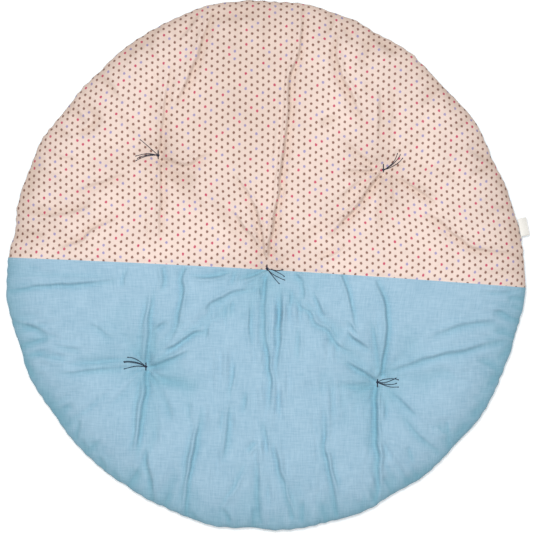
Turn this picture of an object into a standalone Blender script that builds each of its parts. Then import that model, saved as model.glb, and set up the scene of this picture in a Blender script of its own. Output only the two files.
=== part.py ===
"""Round tufted floor cushion, lying on its back.

The cushion is one filled solid: a crowned front, a back that is flat where it rests, and a
puckered edge seam where the two meet. Five ties draw the filling in, and folds run out from the
ties and in from the edge. Each tie and the side label is an object of its own.

Lengths are metres, +Z is up, +X is the cushion's right and +Y points to the dotted half of its
front. The tables give places in millimetres from the middle of the cushion.
"""

import math
from collections import namedtuple

import bmesh
import bpy
import numpy as np
from mathutils import Vector
from mathutils.bvhtree import BVHTree
from mathutils.geometry import delaunay_2d_cdt

MM = 0.001

# Plan of the edge seam: a near circle, a little taller than wide, with flattened shoulders
MEAN_RADIUS = 0.4892
RIM_POINTS = 200

# Heights. The edge seam runs round the cushion below the middle of its thickness.
SEAM_HEIGHT = 0.024
SEAM_WAVE_SHARE = 0.35
SEAM_WAVE_SHARPNESS = 8
EDGE_ROLL = 0.022
EDGE_SHARPNESS = 14
CROWN = 0.013
BACK_FLAT_SHARE = 0.74
BACK_SHARPNESS = 4

# Drawing-in at each tie: a wide hollow with a tighter one inside it
TUFT_WIDE_RADIUS = 0.115
TUFT_WIDE_DEPTH = 0.010
TUFT_TIGHT_RADIUS = 0.034
TUFT_TIGHT_DEPTH = 0.009
BACK_TUFT_RADIUS = 0.048
BACK_TUFT_DEPTH = 0.005

# Folds stand up softly on both sides of their valley
RIDGE_SHARE = 0.38
RIDGE_OFFSET = 1.9
RIDGE_SPREAD = 0.9
PUCKER_FOLD_WIDTH = 0.008
PUCKER_FOLD_DEPTH = 0.0035
FOLD_SAMPLES = 10

# Spacing of the mesh's points
FOLD_STEP = 0.013
POINT_GAP = 0.0065
FRONT_SPACING = 0.031
BACK_SPACING = 0.048
NET_GAP_SHARE = 0.6
FRONT_EDGE_MARGIN = 0.008
BACK_EDGE_MARGIN = 0.010
TIE_RINGS = ((0.009, 8), (0.018, 8), (0.028, 8))
BACK_TIE_RINGS = ((0.014, 6), (0.030, 9), (BACK_TUFT_RADIUS, 12))
FRONT_EDGE_RINGS = (0.988, 0.965, 0.93)
BACK_EDGE_RINGS = ((0.985, 1), (0.955, 2), (0.91, 2), (0.85, 3), (0.79, 3), (BACK_FLAT_SHARE, 4))

# Thread ties, drawn a little thicker than the thread itself
THREAD_RADIUS = 0.0008
STITCH_HALF_WIDTH = 0.0011
STITCH_HALF_THICKNESS = 0.0007
KNOT_SIZE = (0.0034, 0.0029, 0.0022)
CLEARANCE = 0.0006
TAIL_SEGMENTS = 7
TAIL_LIFT = 0.0016
TAIL_LIFT_GROWTH = 0.9
TAIL_ARCH_START = 0.12
STITCH_SEGMENTS = 5
TOUCH_ROOM = 0.0015

# Side label, a folded tape whose two cut ends are caught in the edge seam
LABEL_ANGLE = math.radians(8.6)
LABEL_TURN = math.radians(11.0)
LABEL_LENGTH = 0.034
LABEL_REACH = 0.016
LABEL_THICKNESS = 0.0012
LABEL_FOLD_THICKNESS = 0.0018
LABEL_DROOP = 0.005
LABEL_GAP = 0.0006
LABEL_WAVE = 0.0006
LABEL_STEPS = 6
LABEL_EDGE_SPAN = 0.045

Lobe = namedtuple("Lobe", "count swing peak")
Pucker = namedtuple("Pucker", "angle swing half_width fold_length")
Fold = namedtuple("Fold", "x0 y0 x1 y1 x2 y2 half_width depth deepest")
Tie = namedtuple("Tie", "name x y stitch_up stitch_down")
Tail = namedtuple("Tail", "tie mid_x mid_y end_x end_y")

# Slow departures of the edge from a circle: lobes per turn, millimetres, degrees of one peak
LOBES = (
    Lobe(1, 3.7, 239),
    Lobe(2, 7.0, 98),
    Lobe(3, 4.8, 92),
    Lobe(4, 3.7, 1),
)

# Puckers and puffs of the edge: degrees, millimetres in (-) or out (+), degrees, millimetres
PUCKERS = (
    Pucker(14, -3.2, 4, 40),
    Pucker(24, -5.0, 5, 55),
    Pucker(35, 3.2, 4, 0),
    Pucker(46, -2.4, 4, 60),
    Pucker(56, 2.4, 3, 0),
    Pucker(65, -3.6, 3, 60),
    Pucker(75, -2.2, 3, 45),
    Pucker(88, -3.0, 4, 0),
    Pucker(103, 2.8, 4, 0),
    Pucker(118, 0.0, 3, 55),
    Pucker(131, -2.8, 4, 70),
    Pucker(141, -2.4, 4, 50),
    Pucker(151, 4.4, 4, 0),
    Pucker(172, -7.4, 4, 65),
    Pucker(187, 3.6, 4, 0),
    Pucker(198, -2.6, 3, 60),
    Pucker(205, 1.9, 3, 0),
    Pucker(215, -2.8, 4, 45),
    Pucker(226, 0.0, 3, 40),
    Pucker(238, -1.8, 3, 50),
    Pucker(247, -1.6, 3, 40),
    Pucker(258, 2.5, 3, 0),
    Pucker(267, -4.8, 3, 45),
    Pucker(283, -1.8, 3, 45),
    Pucker(292, 1.8, 3, 0),
    Pucker(299, -3.2, 4, 45),
    Pucker(307, 1.5, 3, 0),
    Pucker(317, -2.2, 3, 60),
    Pucker(325, 2.2, 4, 0),
    Pucker(336, -2.6, 3, 60),
    Pucker(344, -3.2, 4, 45),
    Pucker(354, 3.2, 4, 0),
)

# Seam between the dotted and the blue half of the front
PANEL_SEAM = Fold(-483, 16, 1, -7, 481, -40, 4, 1.6, 0.5)

# Folds of the dotted half. "deepest" is the share of the way along where the fold is deepest.
DOTTED_FOLDS = (
    Fold(-106, 478, -131, 365, -167, 298, 9, 6.0, 0.3),
    Fold(-182, 388, -182, 294, -195, 218, 8, 5.0, 1.0),
    Fold(-195, 200, -193, 124, -197, 34, 8, 4.5, 0.1),
    Fold(65, 491, 59, 388, 39, 279, 10, 6.0, 0.9),
    Fold(39, 279, 31, 143, 3, 0, 9, 5.5, 0.1),
    Fold(125, 397, 150, 318, 187, 266, 10, 5.5, 0.4),
    Fold(135, 245, 167, 209, 210, 188, 8, 3.5, 0.8),
    Fold(219, 181, 172, 113, 105, 51, 9, 5.5, 0.3),
    Fold(233, 162, 327, 79, 468, 21, 8, 3.5, 0.5),
    Fold(242, 156, 289, 132, 338, 119, 7, 2.5, 0.3),
    Fold(-8, 8, -42, 77, -84, 137, 8, 4.0, 0.2),
    Fold(-8, 15, -25, 96, -69, 185, 8, 3.5, 0.2),
    Fold(-191, 200, -144, 185, -97, 218, 12, 5.0, 0.5),
    Fold(-398, 139, -329, 147, -263, 169, 9, 3.0, 0.5),
    Fold(-457, 105, -398, 109, -336, 117, 12, 3.5, 0.2),
    Fold(-389, 38, -329, 56, -265, 102, 10, 4.5, 0.5),
    Fold(-415, 249, -340, 267, -351, 326, 10, 4.5, 0.5),
    Fold(-411, 203, -381, 205, -347, 215, 8, 2.5, 0.3),
    Fold(-306, 343, -276, 316, -246, 292, 8, 2.5, 0.5),
    Fold(234, 335, 234, 284, 233, 218, 7, 2.0, 0.7),
    Fold(210, 143, 214, 102, 217, 56, 7, 2.5, 0.3),
    Fold(35, 13, 91, 26, 150, 51, 8, 3.0, 0.4),
)

# Folds of the blue half
BLUE_FOLDS = (
    Fold(-487, -43, -385, -34, -276, -28, 8, 4.5, 0.3),
    Fold(-225, -186, -227, -111, -212, -34, 8, 5.0, 0.3),
    Fold(-150, -4, -155, -64, -178, -132, 8, 5.0, 0.5),
    Fold(-219, -186, -172, -171, -121, -147, 8, 5.5, 0.2),
    Fold(-201, -154, -144, -119, -84, -89, 8, 4.5, 0.5),
    Fold(-238, -179, -298, -173, -362, -179, 7, 2.8, 0.3),
    Fold(-276, -188, -332, -194, -393, -201, 7, 2.8, 0.3),
    Fold(-468, -104, -436, -111, -404, -126, 9, 3.5, 0.3),
    Fold(-314, -121, -289, -128, -265, -141, 7, 2.2, 0.5),
    Fold(-464, -171, -408, -171, -370, -181, 8, 2.8, 0.3),
    Fold(-225, -192, -233, -262, -246, -360, 8, 6.5, 0.2),
    Fold(-231, -328, -221, -375, -216, -437, 8, 4.0, 0.6),
    Fold(-125, -256, -135, -346, -152, -459, 8, 6.0, 0.6),
    Fold(-65, -158, -61, -196, -69, -237, 7, 2.4, 0.5),
    Fold(-71, -262, -72, -313, -78, -369, 7, 3.0, 0.5),
    Fold(1, -15, 1, -130, 8, -262, 8, 5.5, 0.4),
    Fold(24, -49, 31, -111, 20, -200, 7, 4.5, 0.5),
    Fold(69, -8, 74, -60, 105, -94, 8, 4.5, 0.4),
    Fold(-29, -64, -29, -130, -20, -200, 7, 3.5, 0.4),
    Fold(59, -102, 59, -130, 59, -160, 7, 2.4, 0.5),
    Fold(142, -17, 152, -45, 157, -75, 8, 4.0, 0.4),
    Fold(208, -211, 227, -130, 210, -30, 8, 6.0, 0.3),
    Fold(193, -83, 206, -136, 210, -181, 7, 3.2, 0.6),
    Fold(208, -218, 148, -173, 72, -94, 8, 4.0, 0.4),
    Fold(129, -111, 161, -134, 199, -158, 8, 3.2, 0.5),
    Fold(246, -192, 346, -160, 470, -130, 8, 3.5, 0.4),
    Fold(270, -132, 336, -111, 406, -81, 9, 3.0, 0.6),
    Fold(428, -87, 455, -94, 475, -105, 9, 4.5, 0.7),
    Fold(223, -233, 261, -275, 312, -339, 8, 3.0, 0.4),
    Fold(201, -224, 204, -328, 208, -441, 8, 6.5, 0.5),
    Fold(106, -267, 108, -346, 135, -469, 8, 4.5, 0.6),
    Fold(69, -441, 67, -469, 54, -493, 8, 4.0, 0.7),
    Fold(-1, -309, 25, -384, 54, -478, 8, 3.5, 0.6),
    Fold(-20, -346, -16, -412, -10, -488, 8, 3.5, 0.6),
    Fold(-40, -346, -59, -394, -76, -444, 7, 3.0, 0.5),
    Fold(-357, -286, -353, -305, -347, -328, 8, 3.5, 0.6),
)

# Ties: where the knot sits, and how far the stitch runs up and down from it
TIES = (
    Tie("tie_centre", 1, -5, 8.5, 4.0),
    Tie("tie_upper_left", -203, 207, 10.5, 6.5),
    Tie("tie_upper_right", 219, 180, 12.0, 4.7),
    Tie("tie_lower_left", -226, -189, 8.0, 7.0),
    Tie("tie_lower_right", 208, -218, 6.3, 9.0),
)

# Free ends of thread at each tie: the middle and the end of each, counted from the knot
TAILS = (
    Tail("tie_centre", 17, -5, 33, -15.5),
    Tail("tie_centre", 15, -13, 34, -21),
    Tail("tie_centre", 10, -13, 23.5, -29),
    Tail("tie_centre", 18, -3, 31, -2),
    Tail("tie_upper_left", -15, 14, -34, 29.5),
    Tail("tie_upper_left", -18, -1, -42, -10),
    Tail("tie_upper_left", -20, 3, -42.5, -2),
    Tail("tie_upper_left", -19, 7, -39, 11),
    Tail("tie_upper_right", 17, 13, 26, 31),
    Tail("tie_upper_right", 20, 13, 31.5, 29.5),
    Tail("tie_upper_right", 20, 8, 36, 22),
    Tail("tie_lower_left", -19, 9.5, -41.5, 10),
    Tail("tie_lower_left", -16, 13.5, -34.5, 19),
    Tail("tie_lower_left", -20, 1.5, -41, -4),
    Tail("tie_lower_left", -20, 5.5, -39, 4.5),
    Tail("tie_lower_right", 18, 7, 39.5, 4.5),
    Tail("tie_lower_right", 19, 1.5, 35, 9.5),
    Tail("tie_lower_right", 19, -3.5, 36, -1),
    Tail("tie_lower_right", 20, -7, 39.5, -8.5),
)

# Finishes, from the photo: name, colour as linear red, green and blue, roughness
Finish = namedtuple("Finish", "name colour roughness")
DOTTED_COTTON = Finish("dotted_cotton", (0.83, 0.66, 0.60), 0.85)
BLUE_CHAMBRAY = Finish("blue_chambray", (0.38, 0.58, 0.72), 0.88)
NAVY_THREAD = Finish("navy_thread", (0.012, 0.022, 0.045), 0.7)
LABEL_TAPE = Finish("label_tape", (0.86, 0.83, 0.76), 0.8)


def clear_scene():
    for obj in list(bpy.data.objects):
        bpy.data.objects.remove(obj, do_unlink=True)


def material(finish):
    made = bpy.data.materials.new(finish.name)
    made.use_nodes = True
    shader = made.node_tree.nodes["Principled BSDF"]
    shader.inputs["Base Color"].default_value = (*finish.colour, 1.0)
    shader.inputs["Roughness"].default_value = finish.roughness
    shader.inputs["Metallic"].default_value = 0.0
    made.diffuse_color = (*finish.colour, 1.0)
    return made


def pucker_swing(angle):
    """How far the puckers and puffs move the edge, out where it is above zero."""
    swing = np.zeros(np.shape(angle))
    for pucker in PUCKERS:
        away = np.angle(np.exp(1j * (angle - math.radians(pucker.angle))))
        swing += pucker.swing * MM * np.exp(-((away / math.radians(pucker.half_width)) ** 2))
    return swing


def rim_radius(angle):
    """Distance from the middle to the edge seam, for an array of angles in radians."""
    angle = np.asarray(angle, float)
    radius = MEAN_RADIUS + pucker_swing(angle)
    for lobe in LOBES:
        radius += lobe.swing * MM * np.cos(lobe.count * (angle - math.radians(lobe.peak)))
    return radius


def seam_height(angle):
    """Height of the edge seam: it dips at each pucker and lifts between them."""
    return SEAM_HEIGHT + SEAM_WAVE_SHARE * pucker_swing(angle)


def polar(points):
    """Angle of each point, and its distance from the middle as a share of the edge's."""
    angle = np.arctan2(points[:, 1], points[:, 0])
    share = np.hypot(points[:, 0], points[:, 1]) / rim_radius(angle)
    return angle, np.minimum(share, 1.0)


def bump(share):
    """A round bump: 1 at share 0, 0 from share 1 on, level at both."""
    inside = np.clip(share, 0.0, 1.0)
    return (1.0 - inside) ** 2 * (1.0 + 2.0 * inside)


def fold_curve(fold, steps):
    """Points along a fold's valley, a smooth curve through its start, middle and end."""
    start = np.array([fold.x0, fold.y0]) * MM
    middle = np.array([fold.x1, fold.y1]) * MM
    end = np.array([fold.x2, fold.y2]) * MM
    along = np.linspace(0.0, 1.0, steps + 1)[:, None]
    pull = 2.0 * middle - 0.5 * (start + end)
    return (1 - along) ** 2 * start + 2 * along * (1 - along) * pull + along**2 * end


def pucker_fold(pucker):
    """The short fold that runs in from a pucker of the edge."""
    angle = math.radians(pucker.angle)
    outer = float(rim_radius(angle)) / MM
    inner = outer - pucker.fold_length
    middle = 0.5 * (outer + inner)
    ray = (math.cos(angle), math.sin(angle))
    places = [reach * part for reach in (outer, middle, inner) for part in ray]
    return Fold(*places, PUCKER_FOLD_WIDTH / MM, PUCKER_FOLD_DEPTH / MM, 0.0)


PUCKER_FOLDS = tuple(pucker_fold(pucker) for pucker in PUCKERS if pucker.fold_length)
FRONT_FOLDS = (PANEL_SEAM, *DOTTED_FOLDS, *BLUE_FOLDS, *PUCKER_FOLDS)


def distance_to_fold(points, fold):
    """Distance from each point to a fold's valley, and how far along the fold it is nearest."""
    curve = fold_curve(fold, FOLD_SAMPLES)
    nearest = np.full(len(points), np.inf)
    along = np.zeros(len(points))
    for index in range(FOLD_SAMPLES):
        start = curve[index]
        run = curve[index + 1] - start
        share = np.clip((points - start) @ run / (run @ run), 0.0, 1.0)
        distance = np.linalg.norm(points - start - share[:, None] * run, axis=1)
        closer = distance < nearest
        nearest = np.where(closer, distance, nearest)
        along = np.where(closer, (index + share) / FOLD_SAMPLES, along)
    return nearest, along


def fold_relief(points, folds):
    """Height that the folds add: below zero in valleys, above zero on the soft ridges beside them."""
    valley = np.zeros(len(points))
    ridge = np.zeros(len(points))
    closeness = np.zeros(len(points))
    for fold in folds:
        distance, along = distance_to_fold(points, fold)
        reach = max(fold.deepest, 1.0 - fold.deepest)
        strength = 1.0 - ((along - fold.deepest) / reach) ** 2
        offset = distance / (fold.half_width * MM)
        shape = np.exp(-(offset**2))
        side = np.exp(-(((offset - RIDGE_OFFSET) / RIDGE_SPREAD) ** 2))
        valley = np.maximum(valley, fold.depth * MM * strength * shape)
        ridge = np.maximum(ridge, RIDGE_SHARE * fold.depth * MM * strength * side)
        closeness = np.maximum(closeness, strength * shape)
    return ridge * (1.0 - closeness) - valley


def tie_distances(points):
    return [np.hypot(points[:, 0] - tie.x * MM, points[:, 1] - tie.y * MM) for tie in TIES]


def front_height(points):
    """Height of the cushion's front over each plan point."""
    angle, share = polar(points)
    roll = np.sqrt(1.0 - share**EDGE_SHARPNESS)
    height = SEAM_HEIGHT + SEAM_WAVE_SHARE * pucker_swing(angle) * share**SEAM_WAVE_SHARPNESS
    height += EDGE_ROLL * roll + CROWN * (1.0 - share**2)
    height += fold_relief(points, FRONT_FOLDS) * roll
    for distance in tie_distances(points):
        height -= TUFT_WIDE_DEPTH * bump(distance / TUFT_WIDE_RADIUS)
        height -= TUFT_TIGHT_DEPTH * bump(distance / TUFT_TIGHT_RADIUS)
    return height


def back_height(points):
    """Height of the cushion's back: flat where it rests, drawn up at the ties and at the edge."""
    angle, share = polar(points)
    rise = np.clip((share - BACK_FLAT_SHARE) / (1.0 - BACK_FLAT_SHARE), 0.0, 1.0)
    height = seam_height(angle) * (1.0 - np.sqrt(1.0 - rise**BACK_SHARPNESS))
    for distance in tie_distances(points):
        height += BACK_TUFT_DEPTH * bump(distance / BACK_TUFT_RADIUS)
    return height


def rim_points():
    angles = np.arange(RIM_POINTS) * (2.0 * math.pi / RIM_POINTS)
    radii = rim_radius(angles)
    return np.column_stack([radii * np.cos(angles), radii * np.sin(angles)])


def honeycomb(spacing):
    """Plan points of an even triangular net, over the whole cushion."""
    row_gap = spacing * math.sqrt(3.0) / 2.0
    reach = MEAN_RADIUS * 1.05
    rows = int(reach / row_gap)
    columns = int(reach / spacing) + 1
    points = []
    for row in range(-rows, rows + 1):
        for column in range(-columns, columns + 1):
            x = (column + 0.5 * (row % 2)) * spacing
            points.append((x, row * row_gap))
    return points


def fold_points(fold):
    """Plan points on a fold's valley and along both of its ridges."""
    length = np.linalg.norm(np.diff(fold_curve(fold, FOLD_SAMPLES), axis=0), axis=1).sum()
    curve = fold_curve(fold, max(3, round(length / FOLD_STEP)))
    heading = np.gradient(curve, axis=0)
    heading /= np.linalg.norm(heading, axis=1)[:, None]
    across = np.column_stack([-heading[:, 1], heading[:, 0]]) * RIDGE_OFFSET * fold.half_width * MM
    return [*curve, *(curve + across), *(curve - across)]


def spaced(fixed, wanted, edge_margin, gaps):
    """The wanted points that keep their gap from every point taken before them.

    gaps gives the least gap of each wanted point, and points outside the edge less its margin
    are left out.
    """
    wanted = np.array(wanted)
    _, share = polar(wanted)
    taken = [tuple(point) for point in fixed]
    cell = max(gaps)
    cells = {}
    for point in taken:
        cells.setdefault((int(point[0] // cell), int(point[1] // cell)), []).append(point)
    kept = []
    for point, inside, gap in zip(wanted, share, gaps):
        if inside > 1.0 - edge_margin:
            continue
        home = (int(point[0] // cell), int(point[1] // cell))
        near = [
            other
            for across in (-1, 0, 1)
            for up in (-1, 0, 1)
            for other in cells.get((home[0] + across, home[1] + up), ())
        ]
        if any(math.dist(point, other) < gap for other in near):
            continue
        place = (float(point[0]), float(point[1]))
        kept.append(place)
        cells.setdefault(home, []).append(place)
    return kept


def tie_ring_points(rings):
    """Plan points at each tie and on rings round it."""
    points = []
    for tie in TIES:
        points.append((tie.x * MM, tie.y * MM))
        for radius, count in rings:
            for turn in range(count):
                angle = 2.0 * math.pi * turn / count
                ray = (math.cos(angle), math.sin(angle))
                points.append((tie.x * MM + radius * ray[0], tie.y * MM + radius * ray[1]))
    return points


def front_points(rim):
    """Plan points of the front: close together along folds and round ties, wide elsewhere."""
    wanted = tie_ring_points(TIE_RINGS)
    gaps = [POINT_GAP] * len(wanted)
    for fold in sorted(FRONT_FOLDS, key=lambda row: -row.depth):
        found = fold_points(fold)
        wanted += found
        gaps += [POINT_GAP] * len(found)
    for share in FRONT_EDGE_RINGS:
        wanted += [tuple(point) for point in rim * share]
        gaps += [POINT_GAP] * len(rim)
    net = honeycomb(FRONT_SPACING)
    wanted += net
    gaps += [NET_GAP_SHARE * FRONT_SPACING] * len(net)
    return spaced(rim, wanted, FRONT_EDGE_MARGIN, gaps)


def back_points(rim):
    """Plan points of the back: rings towards the edge and round each tie's hollow."""
    wanted = tie_ring_points(BACK_TIE_RINGS)
    gaps = [POINT_GAP] * len(wanted)
    for share, every in BACK_EDGE_RINGS:
        ring = [tuple(point) for point in rim[::every] * share]
        wanted += ring
        gaps += [POINT_GAP] * len(ring)
    net = honeycomb(BACK_SPACING)
    wanted += net
    gaps += [NET_GAP_SHARE * BACK_SPACING] * len(net)
    return spaced(rim, wanted, BACK_EDGE_MARGIN, gaps)


def triangulated(rim, inner):
    """Triangles over the plan: (plan points, corner numbers), the rim's points coming first."""
    places = [Vector((float(point[0]), float(point[1]))) for point in [*rim, *inner]]
    loop = list(range(len(rim)))
    edges = [(start, (start + 1) % len(rim)) for start in loop]
    points, _, faces, sources, _, _ = delaunay_2d_cdt(places, edges, [loop], 1, 1e-7)
    order = sorted(range(len(points)), key=lambda index: min(sources[index]))
    renumbered = {old: new for new, old in enumerate(order)}
    plan = np.array([points[old][:] for old in order])
    return plan, [[renumbered[corner] for corner in face] for face in faces]


def make_object(name, mesh, materials, parent):
    obj = bpy.data.objects.new(name, mesh)
    for made in materials:
        mesh.materials.append(made)
    bpy.context.scene.collection.objects.link(obj)
    obj.parent = parent
    return obj


def panel_seam_y(x):
    """Where the panel seam lies, in metres, for a plan x."""
    curve = fold_curve(PANEL_SEAM, 40)
    return float(np.interp(x, curve[:, 0], curve[:, 1]))


def build_cushion(parent):
    """The filled body: front and back share the points of the edge seam."""
    rim = rim_points()
    front_plan, front_faces = triangulated(rim, front_points(rim))
    back_plan, back_faces = triangulated(rim, back_points(rim))
    count = len(rim)
    front_z = front_height(front_plan)
    back_z = back_height(back_plan)
    front_z[:count] = seam_height(np.arctan2(rim[:, 1], rim[:, 0]))

    shape = bmesh.new()
    front = [shape.verts.new((*place, height)) for place, height in zip(front_plan, front_z)]
    inside = zip(back_plan[count:], back_z[count:])
    back = front[:count] + [shape.verts.new((*place, height)) for place, height in inside]
    for corners in front_faces:
        face = shape.faces.new([front[corner] for corner in corners])
        middle = face.calc_center_median()
        face.material_index = 0 if middle.y > panel_seam_y(middle.x) else 1
    for corners in back_faces:
        face = shape.faces.new([back[corner] for corner in reversed(corners)])
        face.material_index = 1
    bmesh.ops.recalc_face_normals(shape, faces=shape.faces)
    mesh = bpy.data.meshes.new("cushion")
    shape.to_mesh(mesh)
    shape.free()
    mesh.shade_smooth()
    mesh.set_sharp_from_angle(angle=math.radians(60))
    return make_object("cushion", mesh, [material(DOTTED_COTTON), material(BLUE_CHAMBRAY)], parent)


def surface_finder(mesh):
    """A function that gives the height of the front over a plan point, with a little room beside it."""
    corners = [vertex.co[:] for vertex in mesh.vertices]
    tree = BVHTree.FromPolygons(corners, [face.vertices[:] for face in mesh.polygons])

    def height(x, y, room=TOUCH_ROOM):
        found = []
        for dx, dy in ((0, 0), (room, 0), (-room, 0), (0, room), (0, -room)):
            hit = tree.ray_cast(Vector((x + dx, y + dy, 1.0)), Vector((0, 0, -1)))
            found.append(hit[0].z)
        return max(found)

    return height


def add_tube(shape, path, half_width, half_height):
    """A closed four-sided thread along a path."""
    rings = []
    for index, place in enumerate(path):
        before = path[max(index - 1, 0)]
        after = path[min(index + 1, len(path) - 1)]
        heading = (after - before).normalized()
        side = heading.cross(Vector((0, 0, 1))).normalized()
        up = side.cross(heading)
        corners = (side * half_width, up * half_height, -side * half_width, -up * half_height)
        rings.append([shape.verts.new(place + corner) for corner in corners])
    for ring, following in zip(rings, rings[1:]):
        for turn in range(4):
            after = (turn + 1) % 4
            shape.faces.new((ring[turn], ring[after], following[after], following[turn]))
    shape.faces.new(reversed(rings[0]))
    shape.faces.new(rings[-1])


def tail_path(tie, tail, lift, height, knot_height):
    """The free end of a thread: out of the knot, over a low arch, and down to lie on the cloth."""
    knot = np.array([tie.x, tie.y]) * MM
    row = Fold(0, 0, tail.mid_x, tail.mid_y, tail.end_x, tail.end_y, 1, 1, 0)
    path = []
    for step, offset in enumerate(fold_curve(row, TAIL_SEGMENTS)):
        share = step / TAIL_SEGMENTS
        x, y = knot + offset
        if step == 0:
            z = knot_height
        else:
            arch = math.sin(math.pi * min(share + TAIL_ARCH_START, 1.0))
            z = height(x, y) + CLEARANCE + THREAD_RADIUS + lift * arch
        path.append(Vector((x, y, z)))
    return path


def stitch_path(tie, height):
    """The stitch's path over the cloth, straight along Y."""
    low = tie.y - tie.stitch_down
    high = tie.y + tie.stitch_up
    path = []
    for step in range(STITCH_SEGMENTS + 1):
        y = (low + (high - low) * step / STITCH_SEGMENTS) * MM
        z = height(tie.x * MM, y) + CLEARANCE + STITCH_HALF_THICKNESS
        path.append(Vector((tie.x * MM, y, z)))
    return path


def build_tie(tie, height, thread, parent):
    """A knot with its stitch and its free ends, all in one piece."""
    x = tie.x * MM
    y = tie.y * MM
    place = Vector((x, y, height(x, y, KNOT_SIZE[0]) + CLEARANCE + KNOT_SIZE[2]))

    knot = bmesh.new()
    bmesh.ops.create_icosphere(knot, subdivisions=1, radius=1.0)
    bmesh.ops.scale(knot, vec=KNOT_SIZE, verts=knot.verts)
    knot_mesh = bpy.data.meshes.new(tie.name)
    knot.to_mesh(knot_mesh)
    knot.free()
    obj = make_object(tie.name, knot_mesh, [thread], parent)
    obj.location = place

    threads = bmesh.new()
    add_tube(threads, stitch_path(tie, height), STITCH_HALF_WIDTH, STITCH_HALF_THICKNESS)
    for index, tail in enumerate(row for row in TAILS if row.tie == tie.name):
        lift = TAIL_LIFT * (1.0 + TAIL_LIFT_GROWTH * index)
        path = tail_path(tie, tail, lift, height, place.z)
        add_tube(threads, path, THREAD_RADIUS, THREAD_RADIUS)
    bmesh.ops.translate(threads, vec=-place, verts=threads.verts)
    bmesh.ops.recalc_face_normals(threads, faces=threads.faces)
    thread_mesh = bpy.data.meshes.new(tie.name + "_threads")
    threads.to_mesh(thread_mesh)
    threads.free()
    helper = make_object(tie.name + "_threads", thread_mesh, [thread], parent)
    helper.location = place
    helper.hide_render = True
    helper.display_type = "WIRE"

    union = obj.modifiers.new("threads", "BOOLEAN")
    union.operation = "UNION"
    union.solver = "EXACT"
    union.use_self = True
    union.object = helper
    return obj


def build_label(parent):
    """A bare folded tape, thicker at its fold, that droops a little from the edge seam."""
    outline = []
    for step in range(LABEL_STEPS + 1):
        share = step / LABEL_STEPS
        thickness = LABEL_THICKNESS + (LABEL_FOLD_THICKNESS - LABEL_THICKNESS) * share**4
        outline.append((LABEL_REACH * share, -LABEL_DROOP * share**2, thickness))
    upper = [(out, drop + 0.5 * thickness) for out, drop, thickness in outline]
    nose = [(LABEL_REACH + 0.4 * LABEL_FOLD_THICKNESS, -LABEL_DROOP)]
    lower = [(out, drop - 0.5 * thickness) for out, drop, thickness in reversed(outline)]
    section = upper + nose + lower

    shape = bmesh.new()
    rows = []
    for step in range(LABEL_STEPS + 1):
        along = (step / LABEL_STEPS - 0.5) * LABEL_LENGTH
        wave = LABEL_WAVE * math.sin(2.0 * math.pi * step / LABEL_STEPS)
        rows.append([shape.verts.new((out, along, up + wave * out / LABEL_REACH)) for out, up in section])
    count = len(section)
    for row, following in zip(rows, rows[1:]):
        for index in range(count):
            after = (index + 1) % count
            shape.faces.new((row[index], row[after], following[after], following[index]))
    shape.faces.new(reversed(rows[0]))
    shape.faces.new(rows[-1])
    bmesh.ops.recalc_face_normals(shape, faces=shape.faces)
    mesh = bpy.data.meshes.new("label")
    shape.to_mesh(mesh)
    shape.free()
    mesh.shade_smooth()
    mesh.set_sharp_from_angle(angle=math.radians(40))

    obj = make_object("label", mesh, [material(LABEL_TAPE)], parent)
    outward = np.array([math.cos(LABEL_TURN), math.sin(LABEL_TURN)])
    along = np.array([-outward[1], outward[0]])
    edge_angles = LABEL_ANGLE + np.linspace(-LABEL_EDGE_SPAN, LABEL_EDGE_SPAN, 13)
    edge = rim_radius(edge_angles)[:, None] * np.column_stack([np.cos(edge_angles), np.sin(edge_angles)])
    middle = float(rim_radius(LABEL_ANGLE)) * np.array([math.cos(LABEL_ANGLE), math.sin(LABEL_ANGLE)])
    beside = np.abs((edge - middle) @ along) <= 0.5 * LABEL_LENGTH + 0.002
    out = float(((edge - middle) @ outward)[beside].max()) + LABEL_GAP
    place = middle + out * outward
    obj.location = (place[0], place[1], SEAM_HEIGHT)
    obj.rotation_euler = (0.0, 0.0, LABEL_TURN)
    return obj


def centre_on_origin(frame, objects):
    """Moves the frame so that the middle of everything's plan box is at the origin."""
    bpy.context.view_layer.update()
    graph = bpy.context.evaluated_depsgraph_get()
    corners = []
    for obj in objects:
        whole = obj.evaluated_get(graph)
        corners += [whole.matrix_world @ vertex.co for vertex in whole.data.vertices]
    low_x = min(corner.x for corner in corners)
    high_x = max(corner.x for corner in corners)
    low_y = min(corner.y for corner in corners)
    high_y = max(corner.y for corner in corners)
    frame.location = (-0.5 * (low_x + high_x), -0.5 * (low_y + high_y), 0.0)


def main():
    clear_scene()
    frame = bpy.data.objects.new("cushion_frame", None)
    bpy.context.scene.collection.objects.link(frame)
    cushion = build_cushion(frame)
    height = surface_finder(cushion.data)
    thread = material(NAVY_THREAD)
    ties = [build_tie(tie, height, thread, frame) for tie in TIES]
    label = build_label(frame)
    centre_on_origin(frame, [cushion, label, *ties])


main()
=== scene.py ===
"""Looks of the round tufted floor cushion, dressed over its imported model.

The cover is sewn from three panels of cloth: a dotted cotton half and a blue chambray half on the
front, and a whole chambray round at the back. They share the points of their seams, so together
they close round the filling. Five thread ties draw the filling in, and a bare folded tape is
caught in the edge seam.

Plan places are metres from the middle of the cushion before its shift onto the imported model. The
tables give them in millimetres, X to the right and Y up as the camera sees them.
"""

import logging
import math
from dataclasses import dataclass, field
from enum import Enum
from typing import Callable, NamedTuple, Sequence

import bpy
import numpy as np
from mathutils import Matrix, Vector
from mathutils.bvhtree import BVHTree


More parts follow.
